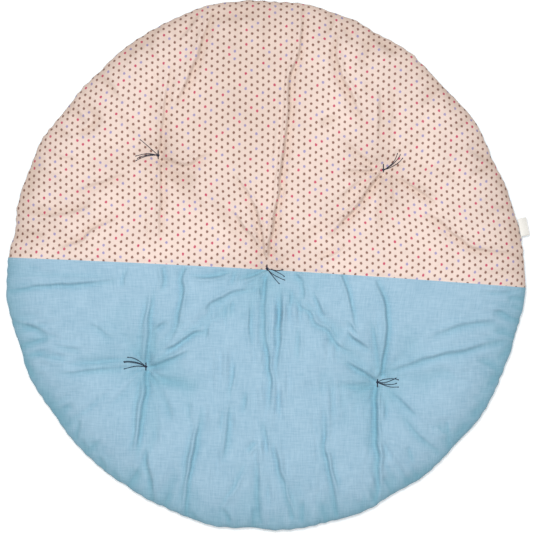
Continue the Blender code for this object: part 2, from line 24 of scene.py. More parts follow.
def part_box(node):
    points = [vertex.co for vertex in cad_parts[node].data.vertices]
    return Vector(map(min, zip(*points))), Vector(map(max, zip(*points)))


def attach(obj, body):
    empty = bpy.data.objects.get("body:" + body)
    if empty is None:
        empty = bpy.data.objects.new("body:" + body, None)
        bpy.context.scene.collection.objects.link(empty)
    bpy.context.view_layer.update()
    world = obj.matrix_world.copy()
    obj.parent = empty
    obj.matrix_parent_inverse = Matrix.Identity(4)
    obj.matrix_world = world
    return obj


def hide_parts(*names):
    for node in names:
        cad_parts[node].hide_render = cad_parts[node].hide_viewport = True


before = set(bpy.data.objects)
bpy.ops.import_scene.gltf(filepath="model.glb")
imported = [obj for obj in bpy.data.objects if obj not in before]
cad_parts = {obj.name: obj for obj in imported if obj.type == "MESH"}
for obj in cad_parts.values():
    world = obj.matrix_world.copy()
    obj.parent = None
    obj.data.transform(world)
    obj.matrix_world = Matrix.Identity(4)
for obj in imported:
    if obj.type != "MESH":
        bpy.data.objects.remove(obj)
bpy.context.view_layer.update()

MM = 0.001
TURN = 2.0 * math.pi
LOG = logging.getLogger("floor_cushion")

# Name of the value that paints shade into the cloth's colour in its hollows and folds, and the hollow depth
# that brings most of that painted shade
PAINTED_SHADE_ATTRIBUTE = "painted_shade_weight"
PAINTED_SHADE_FULL_HOLLOW = 0.0075

# Random waves: how many are added up, the span of their lengths and what brings them near 1
WAVE_COUNT = 14
WAVE_SPAN = (0.75, 1.45)
WAVE_CALM = 1.6

Array = np.ndarray
Piece = bpy.types.Object
Material = bpy.types.Material
Socket = bpy.types.NodeSocket
Colour = tuple[float, float, float, float]
WHITE: Colour = (1.0, 1.0, 1.0, 1.0)


class Lobe(NamedTuple):
    """A slow departure of the edge from a circle: lobes in a turn, millimetres, degrees of a peak."""

    count: int
    swing: float
    peak: float


class Pucker(NamedTuple):
    """A pucker (-) or puff (+) of the edge: degrees, millimetres, degrees, millimetres of fold."""

    angle: float
    swing: float
    half_width: float
    fold_length: float


class Bow(NamedTuple):
    """The start, middle and end of a smooth curve, in millimetres."""

    x0: float
    y0: float
    x1: float
    y1: float
    x2: float
    y2: float


class Crease(NamedTuple):
    """A crease through its places, with its half width and depth, all in millimetres.

    start and end are the shares of the depth left at its two ends. lean says where its raised pleat
    stands: 1 to the left of the way along it, -1 to the right, 0 for a soft hollow without one.
    """

    places: tuple[tuple[float, float], ...]
    half_width: float
    depth: float
    start: float
    end: float
    lean: int = 1


class Ridge(NamedTuple):
    """A soft ridge through its places, with its half width and height, all in millimetres."""

    places: tuple[tuple[float, float], ...]
    half_width: float
    height: float


class Tie(NamedTuple):
    """Where a tie's knot sits, and how far its stitch runs up and down from there, in millimetres."""

    name: str
    x: float
    y: float
    stitch_up: float
    stitch_down: float


class Tail(NamedTuple):
    """A free end of thread: its tie, and its middle and end counted from the knot, in millimetres."""

    tie: str
    mid_x: float
    mid_y: float
    end_x: float
    end_y: float


class Ripple(NamedTuple):
    """The usual wavelength of random waves, in metres, and the seed that picks them."""

    wavelength: float
    seed: int


# Slow departures of the edge from a circle, from a fit to the outline measured in the photo
LOBES = (
    Lobe(1, 3.7, 239),
    Lobe(2, 7.0, 98),
    Lobe(3, 4.8, 92),
    Lobe(4, 3.7, 1),
)

# Puckers and puffs of the edge, mostly picked from a list measured along that outline
PUCKERS = (
    Pucker(14, -3.2, 4, 40),
    Pucker(24, -5.0, 5, 55),
    Pucker(35, 3.2, 4, 0),
    Pucker(46, -2.4, 4, 60),
    Pucker(56, 2.4, 3, 0),
    Pucker(65, -3.6, 3, 60),
    Pucker(75, -2.2, 3, 45),
    Pucker(88, -3.0, 4, 0),
    Pucker(103, 2.8, 4, 0),
    Pucker(118, 0.0, 3, 55),
    Pucker(131, -2.8, 4, 70),
    Pucker(141, -2.4, 4, 50),
    Pucker(151, 4.4, 4, 0),
    Pucker(172, -7.4, 4, 65),
    Pucker(187, 3.6, 4, 0),
    Pucker(198, -2.6, 3, 60),
    Pucker(205, 1.9, 3, 0),
    Pucker(215, -2.8, 4, 45),
    Pucker(226, 0.0, 3, 40),
    Pucker(238, -1.8, 3, 50),
    Pucker(247, -1.6, 3, 40),
    Pucker(258, 2.5, 3, 0),
    Pucker(267, -4.8, 3, 45),
    Pucker(283, -1.8, 3, 45),
    Pucker(292, 1.8, 3, 0),
    Pucker(299, -3.2, 4, 45),
    Pucker(307, 1.5, 3, 0),
    Pucker(317, -2.2, 3, 60),
    Pucker(325, 2.2, 4, 0),
    Pucker(336, -2.6, 3, 60),
    Pucker(344, -3.2, 4, 45),
    Pucker(354, 3.2, 4, 0),
)

# Seam between the dotted and the blue half of the front
PANEL_SEAM = Bow(-483, 16, 1, -7, 481, -40)

# Creases of the dotted half of the front
DOTTED_CREASES = (
    Crease(((-101, 473), (-121, 407), (-142, 350), (-170, 298)), 5.4, 8.0, 1.0, 0.2, -1),
    Crease(((-131, 467), (-144, 448), (-167, 422)), 4.2, 4.8, 1.0, 0.0),
    Crease(((-174, 384), (-182, 339), (-191, 282), (-200, 210)), 4.4, 4.6, 0.2, 1.0, -1),
    Crease(((-197, 196), (-195, 124), (-200, 41)), 4.2, 5.0, 0.8, 0.1, -1),
    Crease(((-210, 177), (-213, 155), (-216, 134)), 4.0, 2.2, 0.3, 0.0),
    Crease(((-225, 105), (-222, 72), (-219, 40)), 4.0, 2.0, 0.0, 0.2, -1),
    Crease(((-197, 201), (-163, 188), (-140, 188), (-125, 203), (-91, 211)), 5.5, 6.0, 1.0, 0.0),
    Crease(((-191, 176), (-159, 166), (-129, 164)), 12.0, 4.0, 0.5, 0.2, 0),
    Crease(((-63, 177), (-50, 154), (-23, 113), (-12, 68), (-4, 20)), 4.2, 4.8, 0.1, 1.0),
    Crease(((-69, 105), (-35, 64), (-6, 22)), 4.2, 4.2, 0.0, 0.9),
    Crease(((-362, 139), (-306, 154), (-257, 173)), 5.2, 4.6, 0.2, 0.0),
    Crease(((-455, 102), (-389, 96), (-351, 105), (-323, 120)), 6.5, 5.4, 0.6, 0.0, -1),
    Crease(((-272, 96), (-306, 79), (-332, 68), (-344, 49), (-362, 41), (-393, 34)), 4.8, 5.6, 0.1, 0.2),
    Crease(((-455, 124), (-443, 162), (-427, 200)), 10.0, 4.0, 0.3, 0.3, 0),
    Crease(((-474, 55), (-460, 57), (-440, 60)), 4.6, 5.4, 1.0, 0.0),
    Crease(
        ((-344, 305), (-325, 290), (-317, 279), (-325, 264), (-340, 252), (-358, 249)),
        5.2, 6.4, 0.6, 0.2, -1,
    ),
    Crease(((-396, 256), (-381, 250), (-366, 249)), 4.4, 4.0, 0.4, 0.1),
    Crease(((-366, 306), (-370, 292), (-378, 280)), 4.6, 4.8, 0.9, 0.1),
    Crease(((-408, 209), (-380, 201), (-351, 203)), 5.0, 2.6, 0.3, 0.0),
    Crease(((-308, 346), (-285, 326), (-261, 303)), 4.4, 2.2, 0.3, 0.0),
    Crease(((-197, 448), (-216, 430), (-223, 407)), 4.8, 4.8, 1.0, 0.0),
    Crease(((-266, 395), (-236, 416), (-204, 433)), 10.0, 4.0, 0.2, 0.2, 0),
    Crease(((-106, 462), (-57, 470), (-8, 472)), 12.0, 3.8, 0.3, 0.2, 0),
    Crease(
        (
            (69, 484), (67, 426), (62, 390), (50, 370), (44, 342),
            (44, 275), (33, 207), (25, 143), (17, 87), (4, 22),
        ),
        4.8, 7.2, 0.7, 0.9, -1,
    ),
    Crease(((25, 388), (23, 350), (18, 290), (10, 200), (12, 162)), 3.8, 2.8, 0.1, 0.1),
    Crease(((133, 448), (127, 388), (138, 354), (161, 309), (182, 262)), 4.8, 6.6, 0.5, 0.2),
    Crease(((144, 237), (165, 211), (199, 192)), 4.4, 3.8, 0.1, 0.8),
    Crease(((100, 263), (116, 271), (132, 280)), 8.0, 2.8, 0.2, 0.2, 0),
    Crease(((212, 322), (212, 283), (212, 235)), 4.0, 2.8, 0.1, 0.4, -1),
    Crease(((234, 341), (235, 300), (230, 240)), 4.0, 2.8, 0.1, 0.4),
    Crease(((191, 347), (191, 333), (191, 320)), 4.0, 2.4, 0.1, 0.1),
    Crease(((214, 170), (195, 147), (176, 117), (157, 94), (138, 75), (112, 53)), 5.0, 6.8, 0.8, 0.1, -1),
    Crease(((150, 41), (131, 26), (112, 19), (86, 13)), 4.4, 4.0, 0.1, 0.1),
    Crease(((230, 166), (235, 134), (234, 102)), 4.4, 3.8, 0.5, 0.0),
    Crease(((214, 150), (214, 110), (216, 72)), 4.4, 3.6, 0.3, 0.0),
    Crease(((250, 160), (289, 136), (312, 120)), 4.4, 5.6, 0.6, 0.4),
    Crease(((300, 94), (327, 79), (349, 56), (387, 30), (413, 26), (462, 23)), 4.6, 5.6, 0.4, 0.6),
    Crease(((138, 177), (170, 176), (202, 178)), 5.0, 3.6, 0.1, 0.9),
    Crease(((185, 166), (157, 141), (138, 128)), 4.6, 2.2, 0.4, 0.0, -1),
    Crease(((122, 472), (124, 460), (126, 446)), 5.0, 4.4, 1.0, 0.0),
    Crease(((148, 450), (155, 436), (161, 420)), 5.0, 4.8, 0.8, 0.1),
    Crease(((180, 426), (190, 418), (200, 410)), 5.5, 4.6, 0.5, 0.3),
    Crease(((204, 424), (224, 412), (242, 402)), 7.0, 5.4, 0.6, 0.6, 0),
    Crease(((176, 397), (184, 385), (191, 373)), 5.0, 2.8, 0.3, 0.1),
    Crease(((327, 341), (342, 322), (355, 303)), 8.0, 3.0, 0.3, 0.3, 0),
    Crease(((393, 284), (370, 268), (346, 256)), 6.0, 3.8, 0.8, 0.0),
    Crease(((436, 190), (402, 203), (374, 218)), 5.5, 4.8, 1.0, 0.0),
    Crease(((434, 177), (450, 143), (458, 109)), 9.0, 3.8, 0.3, 0.3, 0),
    Crease(((461, 92), (466, 62), (469, 34)), 9.0, 3.8, 0.3, 0.3, 0),
    Crease(((478, 14), (464, 19), (446, 23)), 5.0, 4.6, 1.0, 0.2),
    Crease(((-30, 450), (-45, 330), (-30, 190)), 105.0, 2.2, 0.6, 0.4, 0),
)

# Creases of the blue half of the front
BLUE_CREASES = (
    Crease(
        ((-479, -45), (-445, -41), (-393, -34), (-351, -36), (-325, -32), (-274, -26)),
        3.8, 5.2, 1.0, 0.1,
    ),
    Crease(((-464, -17), (-379, -19), (-295, -20)), 3.6, 1.9, 0.3, 0.1, -1),
    Crease(((-261, -9), (-266, -26), (-268, -40)), 3.5, 3.2, 0.6, 0.0),
    Crease(((-210, -45), (-216, -75), (-219, -109), (-221, -139), (-225, -182)), 3.6, 6.2, 0.1, 1.0, -1),
    Crease(((-219, -49), (-231, -98), (-238, -166)), 3.4, 3.4, 0.1, 0.5),
    Crease(((-211, -105), (-211, -135), (-213, -168)), 7.0, 3.2, 0.3, 0.3, 0),
    Crease(((-193, -6), (-189, -26), (-195, -49)), 3.6, 4.6, 0.8, 0.0, -1),
    Crease(
        ((-152, -5), (-160, -26), (-156, -45), (-161, -79), (-168, -109), (-180, -139)),
        3.6, 6.0, 0.8, 0.1,
    ),
    Crease(((-144, -19), (-114, -21), (-88, -17), (-65, -10)), 3.6, 4.8, 0.1, 0.2, -1),
    Crease(((-54, -25), (-27, -19), (-3, -8)), 3.6, 4.4, 0.0, 0.9, -1),
    Crease(((-57, -12), (-61, -26), (-65, -40)), 3.4, 3.6, 0.7, 0.0),
    Crease(((-220, -188), (-193, -181), (-174, -173), (-144, -160)), 3.8, 6.2, 1.0, 0.1),
    Crease(((-191, -158), (-178, -154), (-152, -139), (-133, -124), (-112, -121)), 3.7, 5.6, 0.1, 0.5),
    Crease(((-112, -112), (-112, -122), (-114, -134)), 3.6, 3.8, 0.4, 0.1),
    Crease(((-216, -124), (-200, -113), (-185, -102)), 3.6, 3.6, 0.3, 0.0),
    Crease(((-16, -41), (-61, -49), (-88, -62), (-106, -72), (-114, -83)), 3.6, 4.4, 0.1, 0.1, -1),
    Crease(((-238, -181), (-276, -177), (-313, -181), (-370, -186)), 3.6, 3.6, 0.8, 0.0),
    Crease(((-262, -190), (-310, -194), (-351, -200), (-393, -200)), 3.6, 3.8, 0.2, 0.0, -1),
    Crease(((-455, -166), (-426, -168), (-396, -171), (-370, -179)), 3.9, 4.0, 0.8, 0.0, -1),
    Crease(((-452, -178), (-446, -194), (-437, -212)), 6.0, 5.0, 0.6, 0.3, 0),
    Crease(((-476, -105), (-445, -113), (-426, -120), (-408, -128)), 4.2, 5.2, 1.0, 0.0),
    Crease(((-332, -107), (-310, -120), (-287, -136)), 4.2, 2.6, 0.0, 0.0),
    Crease(((-398, -149), (-370, -153), (-342, -158)), 4.2, 2.4, 0.0, 0.0),
    Crease(
        ((-224, -198), (-225, -233), (-231, -267), (-234, -297), (-238, -331), (-244, -360)),
        3.8, 7.4, 1.0, 0.1, -1,
    ),
    Crease(((-236, -215), (-242, -252), (-249, -328), (-251, -354)), 3.4, 3.8, 0.3, 0.1),
    Crease(((-216, -211), (-170, -218), (-125, -226)), 10.0, 4.2, 0.6, 0.1, 0),
    Crease(((-188, -243), (-183, -266), (-176, -290)), 4.6, 2.6, 0.2, 0.0),
    Crease(((-144, -243), (-143, -270), (-142, -299)), 4.6, 2.2, 0.1, 0.0),
    Crease(((-227, -339), (-223, -373), (-217, -403), (-214, -437)), 3.7, 5.8, 0.1, 1.0),
    Crease(((-349, -288), (-352, -305), (-356, -322)), 3.8, 5.0, 0.1, 1.0),
    Crease(((-346, -322), (-341, -336), (-334, -349)), 3.8, 5.0, 0.2, 1.0),
    Crease(((-327, -326), (-324, -335), (-320, -345)), 3.6, 4.0, 0.1, 0.6),
    Crease(((-314, -354), (-309, -366), (-303, -379)), 4.0, 5.0, 0.1, 1.0),
    Crease(((-286, -382), (-283, -392), (-278, -402)), 4.0, 4.8, 0.1, 1.0),
    Crease(((-420, -232), (-396, -272), (-370, -305)), 11.0, 4.2, 0.3, 0.3, 0),
    Crease(
        ((-120, -255), (-125, -301), (-131, -331), (-138, -365), (-146, -395), (-150, -429), (-152, -465)),
        3.8, 7.2, 0.0, 1.0, -1,
    ),
    Crease(((-136, -286), (-144, -339), (-152, -373), (-157, -414), (-159, -450)), 3.4, 3.8, 0.0, 0.5),
    Crease(((-63, -175), (-63, -211), (-69, -247)), 3.6, 3.8, 0.1, 0.1),
    Crease(((-69, -258), (-71, -301), (-74, -331), (-84, -367)), 3.8, 4.8, 0.2, 0.0, -1),
    Crease(((-82, -268), (-83, -290), (-84, -312)), 3.5, 2.4, 0.0, 0.0),
    Crease(((-38, -230), (-41, -253), (-42, -277)), 3.9, 3.8, 0.0, 0.0),
    Crease(((-65, -62), (-66, -81), (-67, -100)), 3.5, 3.2, 0.0, 0.0, -1),
    Crease(((-29, -60), (-31, -102), (-31, -120), (-29, -150)), 3.5, 4.2, 0.1, 0.0, -1),
    Crease(((-12, -34), (-11, -48), (-8, -62)), 3.4, 4.0, 0.4, 0.0, -1),
    Crease(((-19, -328), (-27, -338), (-36, -348)), 3.5, 4.0, 0.2, 0.0),
    Crease(((-7, -288), (-3, -320), (3, -347)), 3.5, 3.6, 0.1, 0.3),
    Crease(((-40, -363), (-50, -393), (-72, -431), (-84, -450)), 3.6, 3.4, 0.1, 0.3),
    Crease(((-84, -450), (-77, -462), (-68, -476)), 3.6, 4.0, 0.2, 1.0),
    Crease(((-20, -356), (-16, -403), (-18, -444), (-10, -480)), 3.7, 4.0, 0.1, 1.0),
    Crease(((-145, -456), (-137, -467), (-128, -477)), 3.6, 4.4, 0.0, 1.0),
    Crease(
        ((-1, -24), (-5, -64), (-5, -102), (-3, -139), (1, -169), (7, -203), (8, -230), (5, -269)),
        3.6, 6.0, 0.7, 0.1,
    ),
    Crease(((27, -38), (27, -73), (25, -102), (23, -151), (18, -213)), 3.6, 5.8, 0.2, 0.1),
    Crease(((18, -98), (17, -130), (16, -160)), 3.4, 3.2, 0.0, 0.0, -1),
    Crease(((44, -46), (45, -62), (46, -77)), 3.5, 3.8, 0.4, 0.1, -1),
    Crease(((56, -16), (64, -25), (72, -35)), 4.4, 4.4, 0.8, 0.3),
    Crease(((67, -34), (69, -48), (69, -62)), 3.7, 4.4, 0.8, 0.0),
    Crease(
        ((57, -64), (63, -79), (82, -90), (89, -109), (116, -121), (123, -139), (138, -154), (161, -164)),
        3.8, 4.6, 0.3, 0.2,
    ),
    Crease(((87, -49), (99, -75), (105, -96)), 3.6, 4.4, 0.4, 0.0),
    Crease(((202, -214), (184, -203), (165, -188), (146, -179)), 3.9, 5.2, 1.0, 0.1, -1),
    Crease(((61, -111), (60, -145), (57, -179)), 3.5, 3.4, 0.0, 0.0),
    Crease(((142, -17), (150, -38), (157, -60), (162, -90), (167, -121)), 3.6, 5.0, 1.0, 0.0, -1),
    Crease(((150, -121), (161, -136), (176, -147), (194, -157)), 3.6, 4.6, 0.2, 0.1),
    Crease(((148, -102), (161, -115), (172, -130)), 3.4, 3.0, 0.1, 0.0),
    Crease(
        ((207, -30), (217, -53), (225, -75), (227, -109), (225, -139), (221, -162), (214, -204)),
        3.8, 7.0, 0.4, 1.0, -1,
    ),
    Crease(((195, -102), (200, -124), (206, -151), (208, -192)), 3.5, 4.2, 0.1, 0.6),
    Crease(
        (
            (238, -195), (266, -184), (293, -177), (334, -164),
            (364, -162), (387, -154), (413, -145), (451, -141),
        ),
        4.2, 4.8, 0.4, 0.6,
    ),
    Crease(((304, -134), (342, -120), (364, -111), (394, -109), (424, -103)), 4.8, 4.4, 0.0, 0.3),
    Crease(((421, -88), (440, -85), (455, -96), (475, -102)), 4.6, 5.4, 0.0, 1.0),
    Crease(((449, -60), (464, -60), (480, -59)), 4.4, 5.2, 0.0, 1.0),
    Crease(((460, -77), (470, -79), (480, -82)), 4.2, 4.0, 0.2, 0.9, -1),
    Crease(((402, -49), (436, -49), (472, -47)), 3.6, 2.8, 0.1, 0.5),
    Crease(((229, -234), (259, -260), (282, -283)), 4.1, 4.2, 0.3, 0.1),
    Crease(((251, -282), (270, -301), (285, -320), (304, -335), (321, -348)), 4.0, 4.8, 0.1, 0.5),
    Crease(((265, -334), (270, -354), (276, -369)), 3.7, 4.0, 0.0, 0.1),
    Crease(
        (
            (206, -226), (202, -260), (204, -290), (204, -328),
            (210, -358), (206, -377), (210, -403), (206, -442),
        ),
        3.9, 7.8, 1.0, 0.9,
    ),
    Crease(((221, -243), (223, -266), (223, -290)), 3.5, 3.2, 0.2, 0.1, -1),
    Crease(((219, -327), (221, -346), (221, -366)), 3.5, 2.6, 0.0, 0.0, -1),
    Crease(
        ((110, -260), (110, -309), (105, -339), (112, -369), (120, -395), (125, -422), (132, -466)),
        3.7, 5.6, 0.0, 1.0,
    ),
    Crease(((117, -337), (129, -391), (136, -420)), 3.4, 2.8, 0.0, 0.0, -1),
    Crease(((69, -438), (69, -456), (66, -476)), 3.9, 4.8, 0.0, 1.0),
    Crease(((10, -326), (20, -365), (29, -395), (37, -429), (49, -470)), 3.7, 4.6, 0.1, 1.0),
    Crease(((35, -402), (45, -428), (54, -455)), 3.4, 3.0, 0.0, 0.4, -1),
    Crease(((337, -288), (341, -312), (344, -338)), 4.2, 5.8, 0.1, 1.0),
    Crease(((438, -176), (450, -162), (460, -146)), 7.0, 4.4, 0.4, 0.4, 0),
    Crease(((417, -228), (428, -210), (438, -190)), 7.0, 4.2, 0.4, 0.4, 0),
    Crease(((384, -286), (398, -270), (410, -252)), 8.0, 4.0, 0.4, 0.4, 0),
    Crease(((352, -322), (366, -308), (378, -296)), 8.0, 4.0, 0.4, 0.4, 0),
    Crease(((254, -410), (280, -396), (304, -382)), 9.0, 4.0, 0.3, 0.3, 0),
    Crease(((176, -436), (180, -446), (184, -456)), 5.0, 4.0, 0.2, 0.9),
    Crease(((138, -224), (168, -228), (200, -224)), 6.5, 3.4, 0.1, 0.8, 0),
)

# Soft ridges that stand beside the widest creases
RIDGES = (
    Ridge(((-125, 444), (-140, 395), (-163, 350), (-178, 313)), 7.0, 3.0),
    Ridge(((-144, 218), (-125, 230), (-106, 235)), 6.0, 2.2),
    Ridge(((-404, 147), (-377, 158), (-350, 166)), 7.0, 2.2),
    Ridge(((-453, 41), (-408, 64), (-351, 87)), 7.0, 2.4),
    Ridge(((-359, 301), (-350, 289), (-344, 275)), 5.5, 2.6),
    Ridge(((-430, -194), (-419, -196), (-405, -198)), 7.0, 3.0),
)

TIES = (
    Tie("tie_centre", 1, -5, 8.5, 4.0),
    Tie("tie_upper_left", -203, 207, 10.5, 6.5),
    Tie("tie_upper_right", 219, 180, 12.0, 4.7),
    Tie("tie_lower_left", -226, -189, 8.0, 7.0),
    Tie("tie_lower_right", 208, -218, 6.3, 9.0),
)

TAILS = (
    Tail("tie_centre", 17, -5, 33, -15.5),
    Tail("tie_centre", 15, -13, 34, -21),
    Tail("tie_centre", 10, -13, 23.5, -29),
    Tail("tie_centre", 18, -3, 31, -2),
    Tail("tie_upper_left", -15, 14, -34, 29.5),
    Tail("tie_upper_left", -18, -1, -42, -10),
    Tail("tie_upper_left", -20, 3, -42.5, -2),
    Tail("tie_upper_left", -18, 1, -39, -6.5),
    Tail("tie_upper_right", 17, 13, 26, 31),
    Tail("tie_upper_right", 20, 13, 31.5, 29.5),
    Tail("tie_upper_right", 20, 8, 36, 22),
    Tail("tie_lower_left", -19, 9.5, -41.5, 10),
    Tail("tie_lower_left", -16, 13.5, -34.5, 19),
    Tail("tie_lower_left", -20, 1.5, -41, -4),
    Tail("tie_lower_left", -19, 8, -40.5, 8.5),
    Tail("tie_lower_right", 18, 7, 39.5, 4.5),
    Tail("tie_lower_right", 19, 1.5, 35, 9.5),
    Tail("tie_lower_right", 19, -3.5, 36, -1),
    Tail("tie_lower_right", 20, -7, 39.5, -8.5),
)


def bump(share: Array) -> Array:
    """A round bump: 1 at share 0, 0 from share 1 on, level at both."""
    inside = np.clip(share, 0.0, 1.0)
    return (1.0 - inside) ** 2 * (1.0 + 2.0 * inside)


def unit_steps(angle: Array) -> Array:
    """Steps of length 1 in the plan, one to a row, for angles in radians."""
    return np.column_stack([np.cos(angle), np.sin(angle)])


def tie_distance(points: Array, tie: Tie) -> Array:
    """Distance of each plan point from a tie's knot, in metres."""
    return np.hypot(points[:, 0] - tie.x * MM, points[:, 1] - tie.y * MM)


def ripples(
    points: Array,
    wavelength: float,
    seed: int,
    stretch: tuple[float, float] = (1.0, 1.0),
) -> Array:
    """Soft random waves over the plan, near -1 to 1.

    Args:
        points: Plan points, one to a row.
        wavelength: The usual distance between crests, in metres.
        seed: Picks the waves.
        stretch: How many times longer the waves are along X and along Y.

    Returns:
        One value for each point.
    """
    draw = np.random.default_rng(seed)
    total = np.zeros(len(points))
    for _ in range(WAVE_COUNT):
        heading = draw.uniform(0.0, TURN)
        pace = TURN / (wavelength * draw.uniform(*WAVE_SPAN))
        phase = draw.uniform(0.0, TURN)
        across = math.cos(heading) / stretch[0] * points[:, 0]
        up = math.sin(heading) / stretch[1] * points[:, 1]
        total += np.sin(pace * (across + up) + phase)
    return total / math.sqrt(0.5 * WAVE_COUNT) / WAVE_CALM


def bow_curve(bow: Bow, steps: int) -> Array:
    """Plan points, in metres, along the smooth curve through a bow's start, middle and end."""
    start = np.array([bow.x0, bow.y0]) * MM
    middle = np.array([bow.x1, bow.y1]) * MM
    end = np.array([bow.x2, bow.y2]) * MM
    along = np.linspace(0.0, 1.0, steps + 1)[:, None]
    pull = 2.0 * middle - 0.5 * (start + end)
    return (1 - along) ** 2 * start + 2 * along * (1 - along) * pull + along**2 * end


def rounded_curve(places: Sequence[tuple[float, float]], steps: int = 6) -> Array:
    """Plan points, in metres, along a curve through places in millimetres, rounded where it turns."""
    corners = np.array(places, float) * MM
    knots = np.arange(len(corners))
    fine = np.linspace(0.0, len(corners) - 1.0, steps * (len(corners) - 1) + 1)
    curve = np.column_stack([np.interp(fine, knots, corners[:, axis]) for axis in range(2)])
    for _ in range(steps):
        curve[1:-1] = 0.25 * curve[:-2] + 0.5 * curve[1:-1] + 0.25 * curve[2:]
    return curve


class Beside(NamedTuple):
    """Where points lie beside a curve: metres to its left, share of the way along, metres past an end."""

    left: Array
    along: Array
    past: Array


def beside_curve(points: Array, curve: Array) -> Beside:
    """Measures where plan points lie beside a curve.

    Args:
        points: Plan points in metres.
        curve: The curve's own points, in order.

    Returns:
        One value of each measure for every point.
    """
    nearest = np.full(len(points), np.inf)
    left = np.zeros(len(points))
    along = np.zeros(len(points))
    past = np.zeros(len(points))
    steps = len(curve) - 1
    for index in range(steps):
        run = curve[index + 1] - curve[index]
        length = float(np.hypot(run[0], run[1]))
        run = run / length
        offset = points - curve[index]
        forward = offset @ run
        across = run[0] * offset[:, 1] - run[1] * offset[:, 0]
        kept = np.clip(forward, 0.0, length)
        distance = np.hypot(forward - kept, across)
        closer = distance < nearest
        beyond = np.zeros(len(points))
        if index == 0:
            beyond = np.maximum(beyond, -forward)
        if index == steps - 1:
            beyond = np.maximum(beyond, forward - length)
        signed = np.where(beyond > 0.0, across, np.copysign(distance, across))
        left = np.where(closer, signed, left)
        along = np.where(closer, (index + kept / length) / steps, along)
        past = np.where(closer, beyond, past)
        nearest = np.where(closer, distance, nearest)
    return Beside(left, along, past)


@dataclass
class PlanGrid:
    """Values over an even square grid of the plan, read between its points."""

    reach: float
    step: float
    values: Array | None = None
    window_spreads: int = 3

    def __post_init__(self) -> None:
        """Lays out the grid's lines."""
        self.ticks = np.arange(-self.reach, self.reach + self.step, self.step)

    def points(self) -> Array:
        """The grid's plan points, one to a row."""
        x, y = np.meshgrid(self.ticks, self.ticks)
        return np.column_stack([x.ravel(), y.ravel()])

    def blurred(self, values: Array, spread: float, axis: int) -> Array:
        """The values smoothed along one axis over the given spread in metres."""
        half = int(self.window_spreads * spread / self.step)
        window = np.exp(-0.5 * (np.arange(-half, half + 1) * self.step / spread) ** 2)
        window /= window.sum()
        return np.apply_along_axis(lambda row: np.convolve(row, window, mode="same"), axis, values)

    def smoothed(self, values: Array, spread: float) -> Array:
        """The values smoothed along both axes over the given spread in metres."""
        return self.blurred(self.blurred(values, spread, 0), spread, 1)

    def sample(self, points: Array) -> Array:
        """The grid's values at plan points, each blended from the four around it."""
        just_inside = len(self.ticks) - 1.001
        column = np.clip((points[:, 0] + self.reach) / self.step, 0, just_inside)
        row = np.clip((points[:, 1] + self.reach) / self.step, 0, just_inside)
        i, j = row.astype(int), column.astype(int)
        di, dj = row - i, column - j
        low = self.values[i, j] * (1 - dj) + self.values[i, j + 1] * dj
        high = self.values[i + 1, j] * (1 - dj) + self.values[i + 1, j + 1] * dj
        return low * (1 - di) + high * di


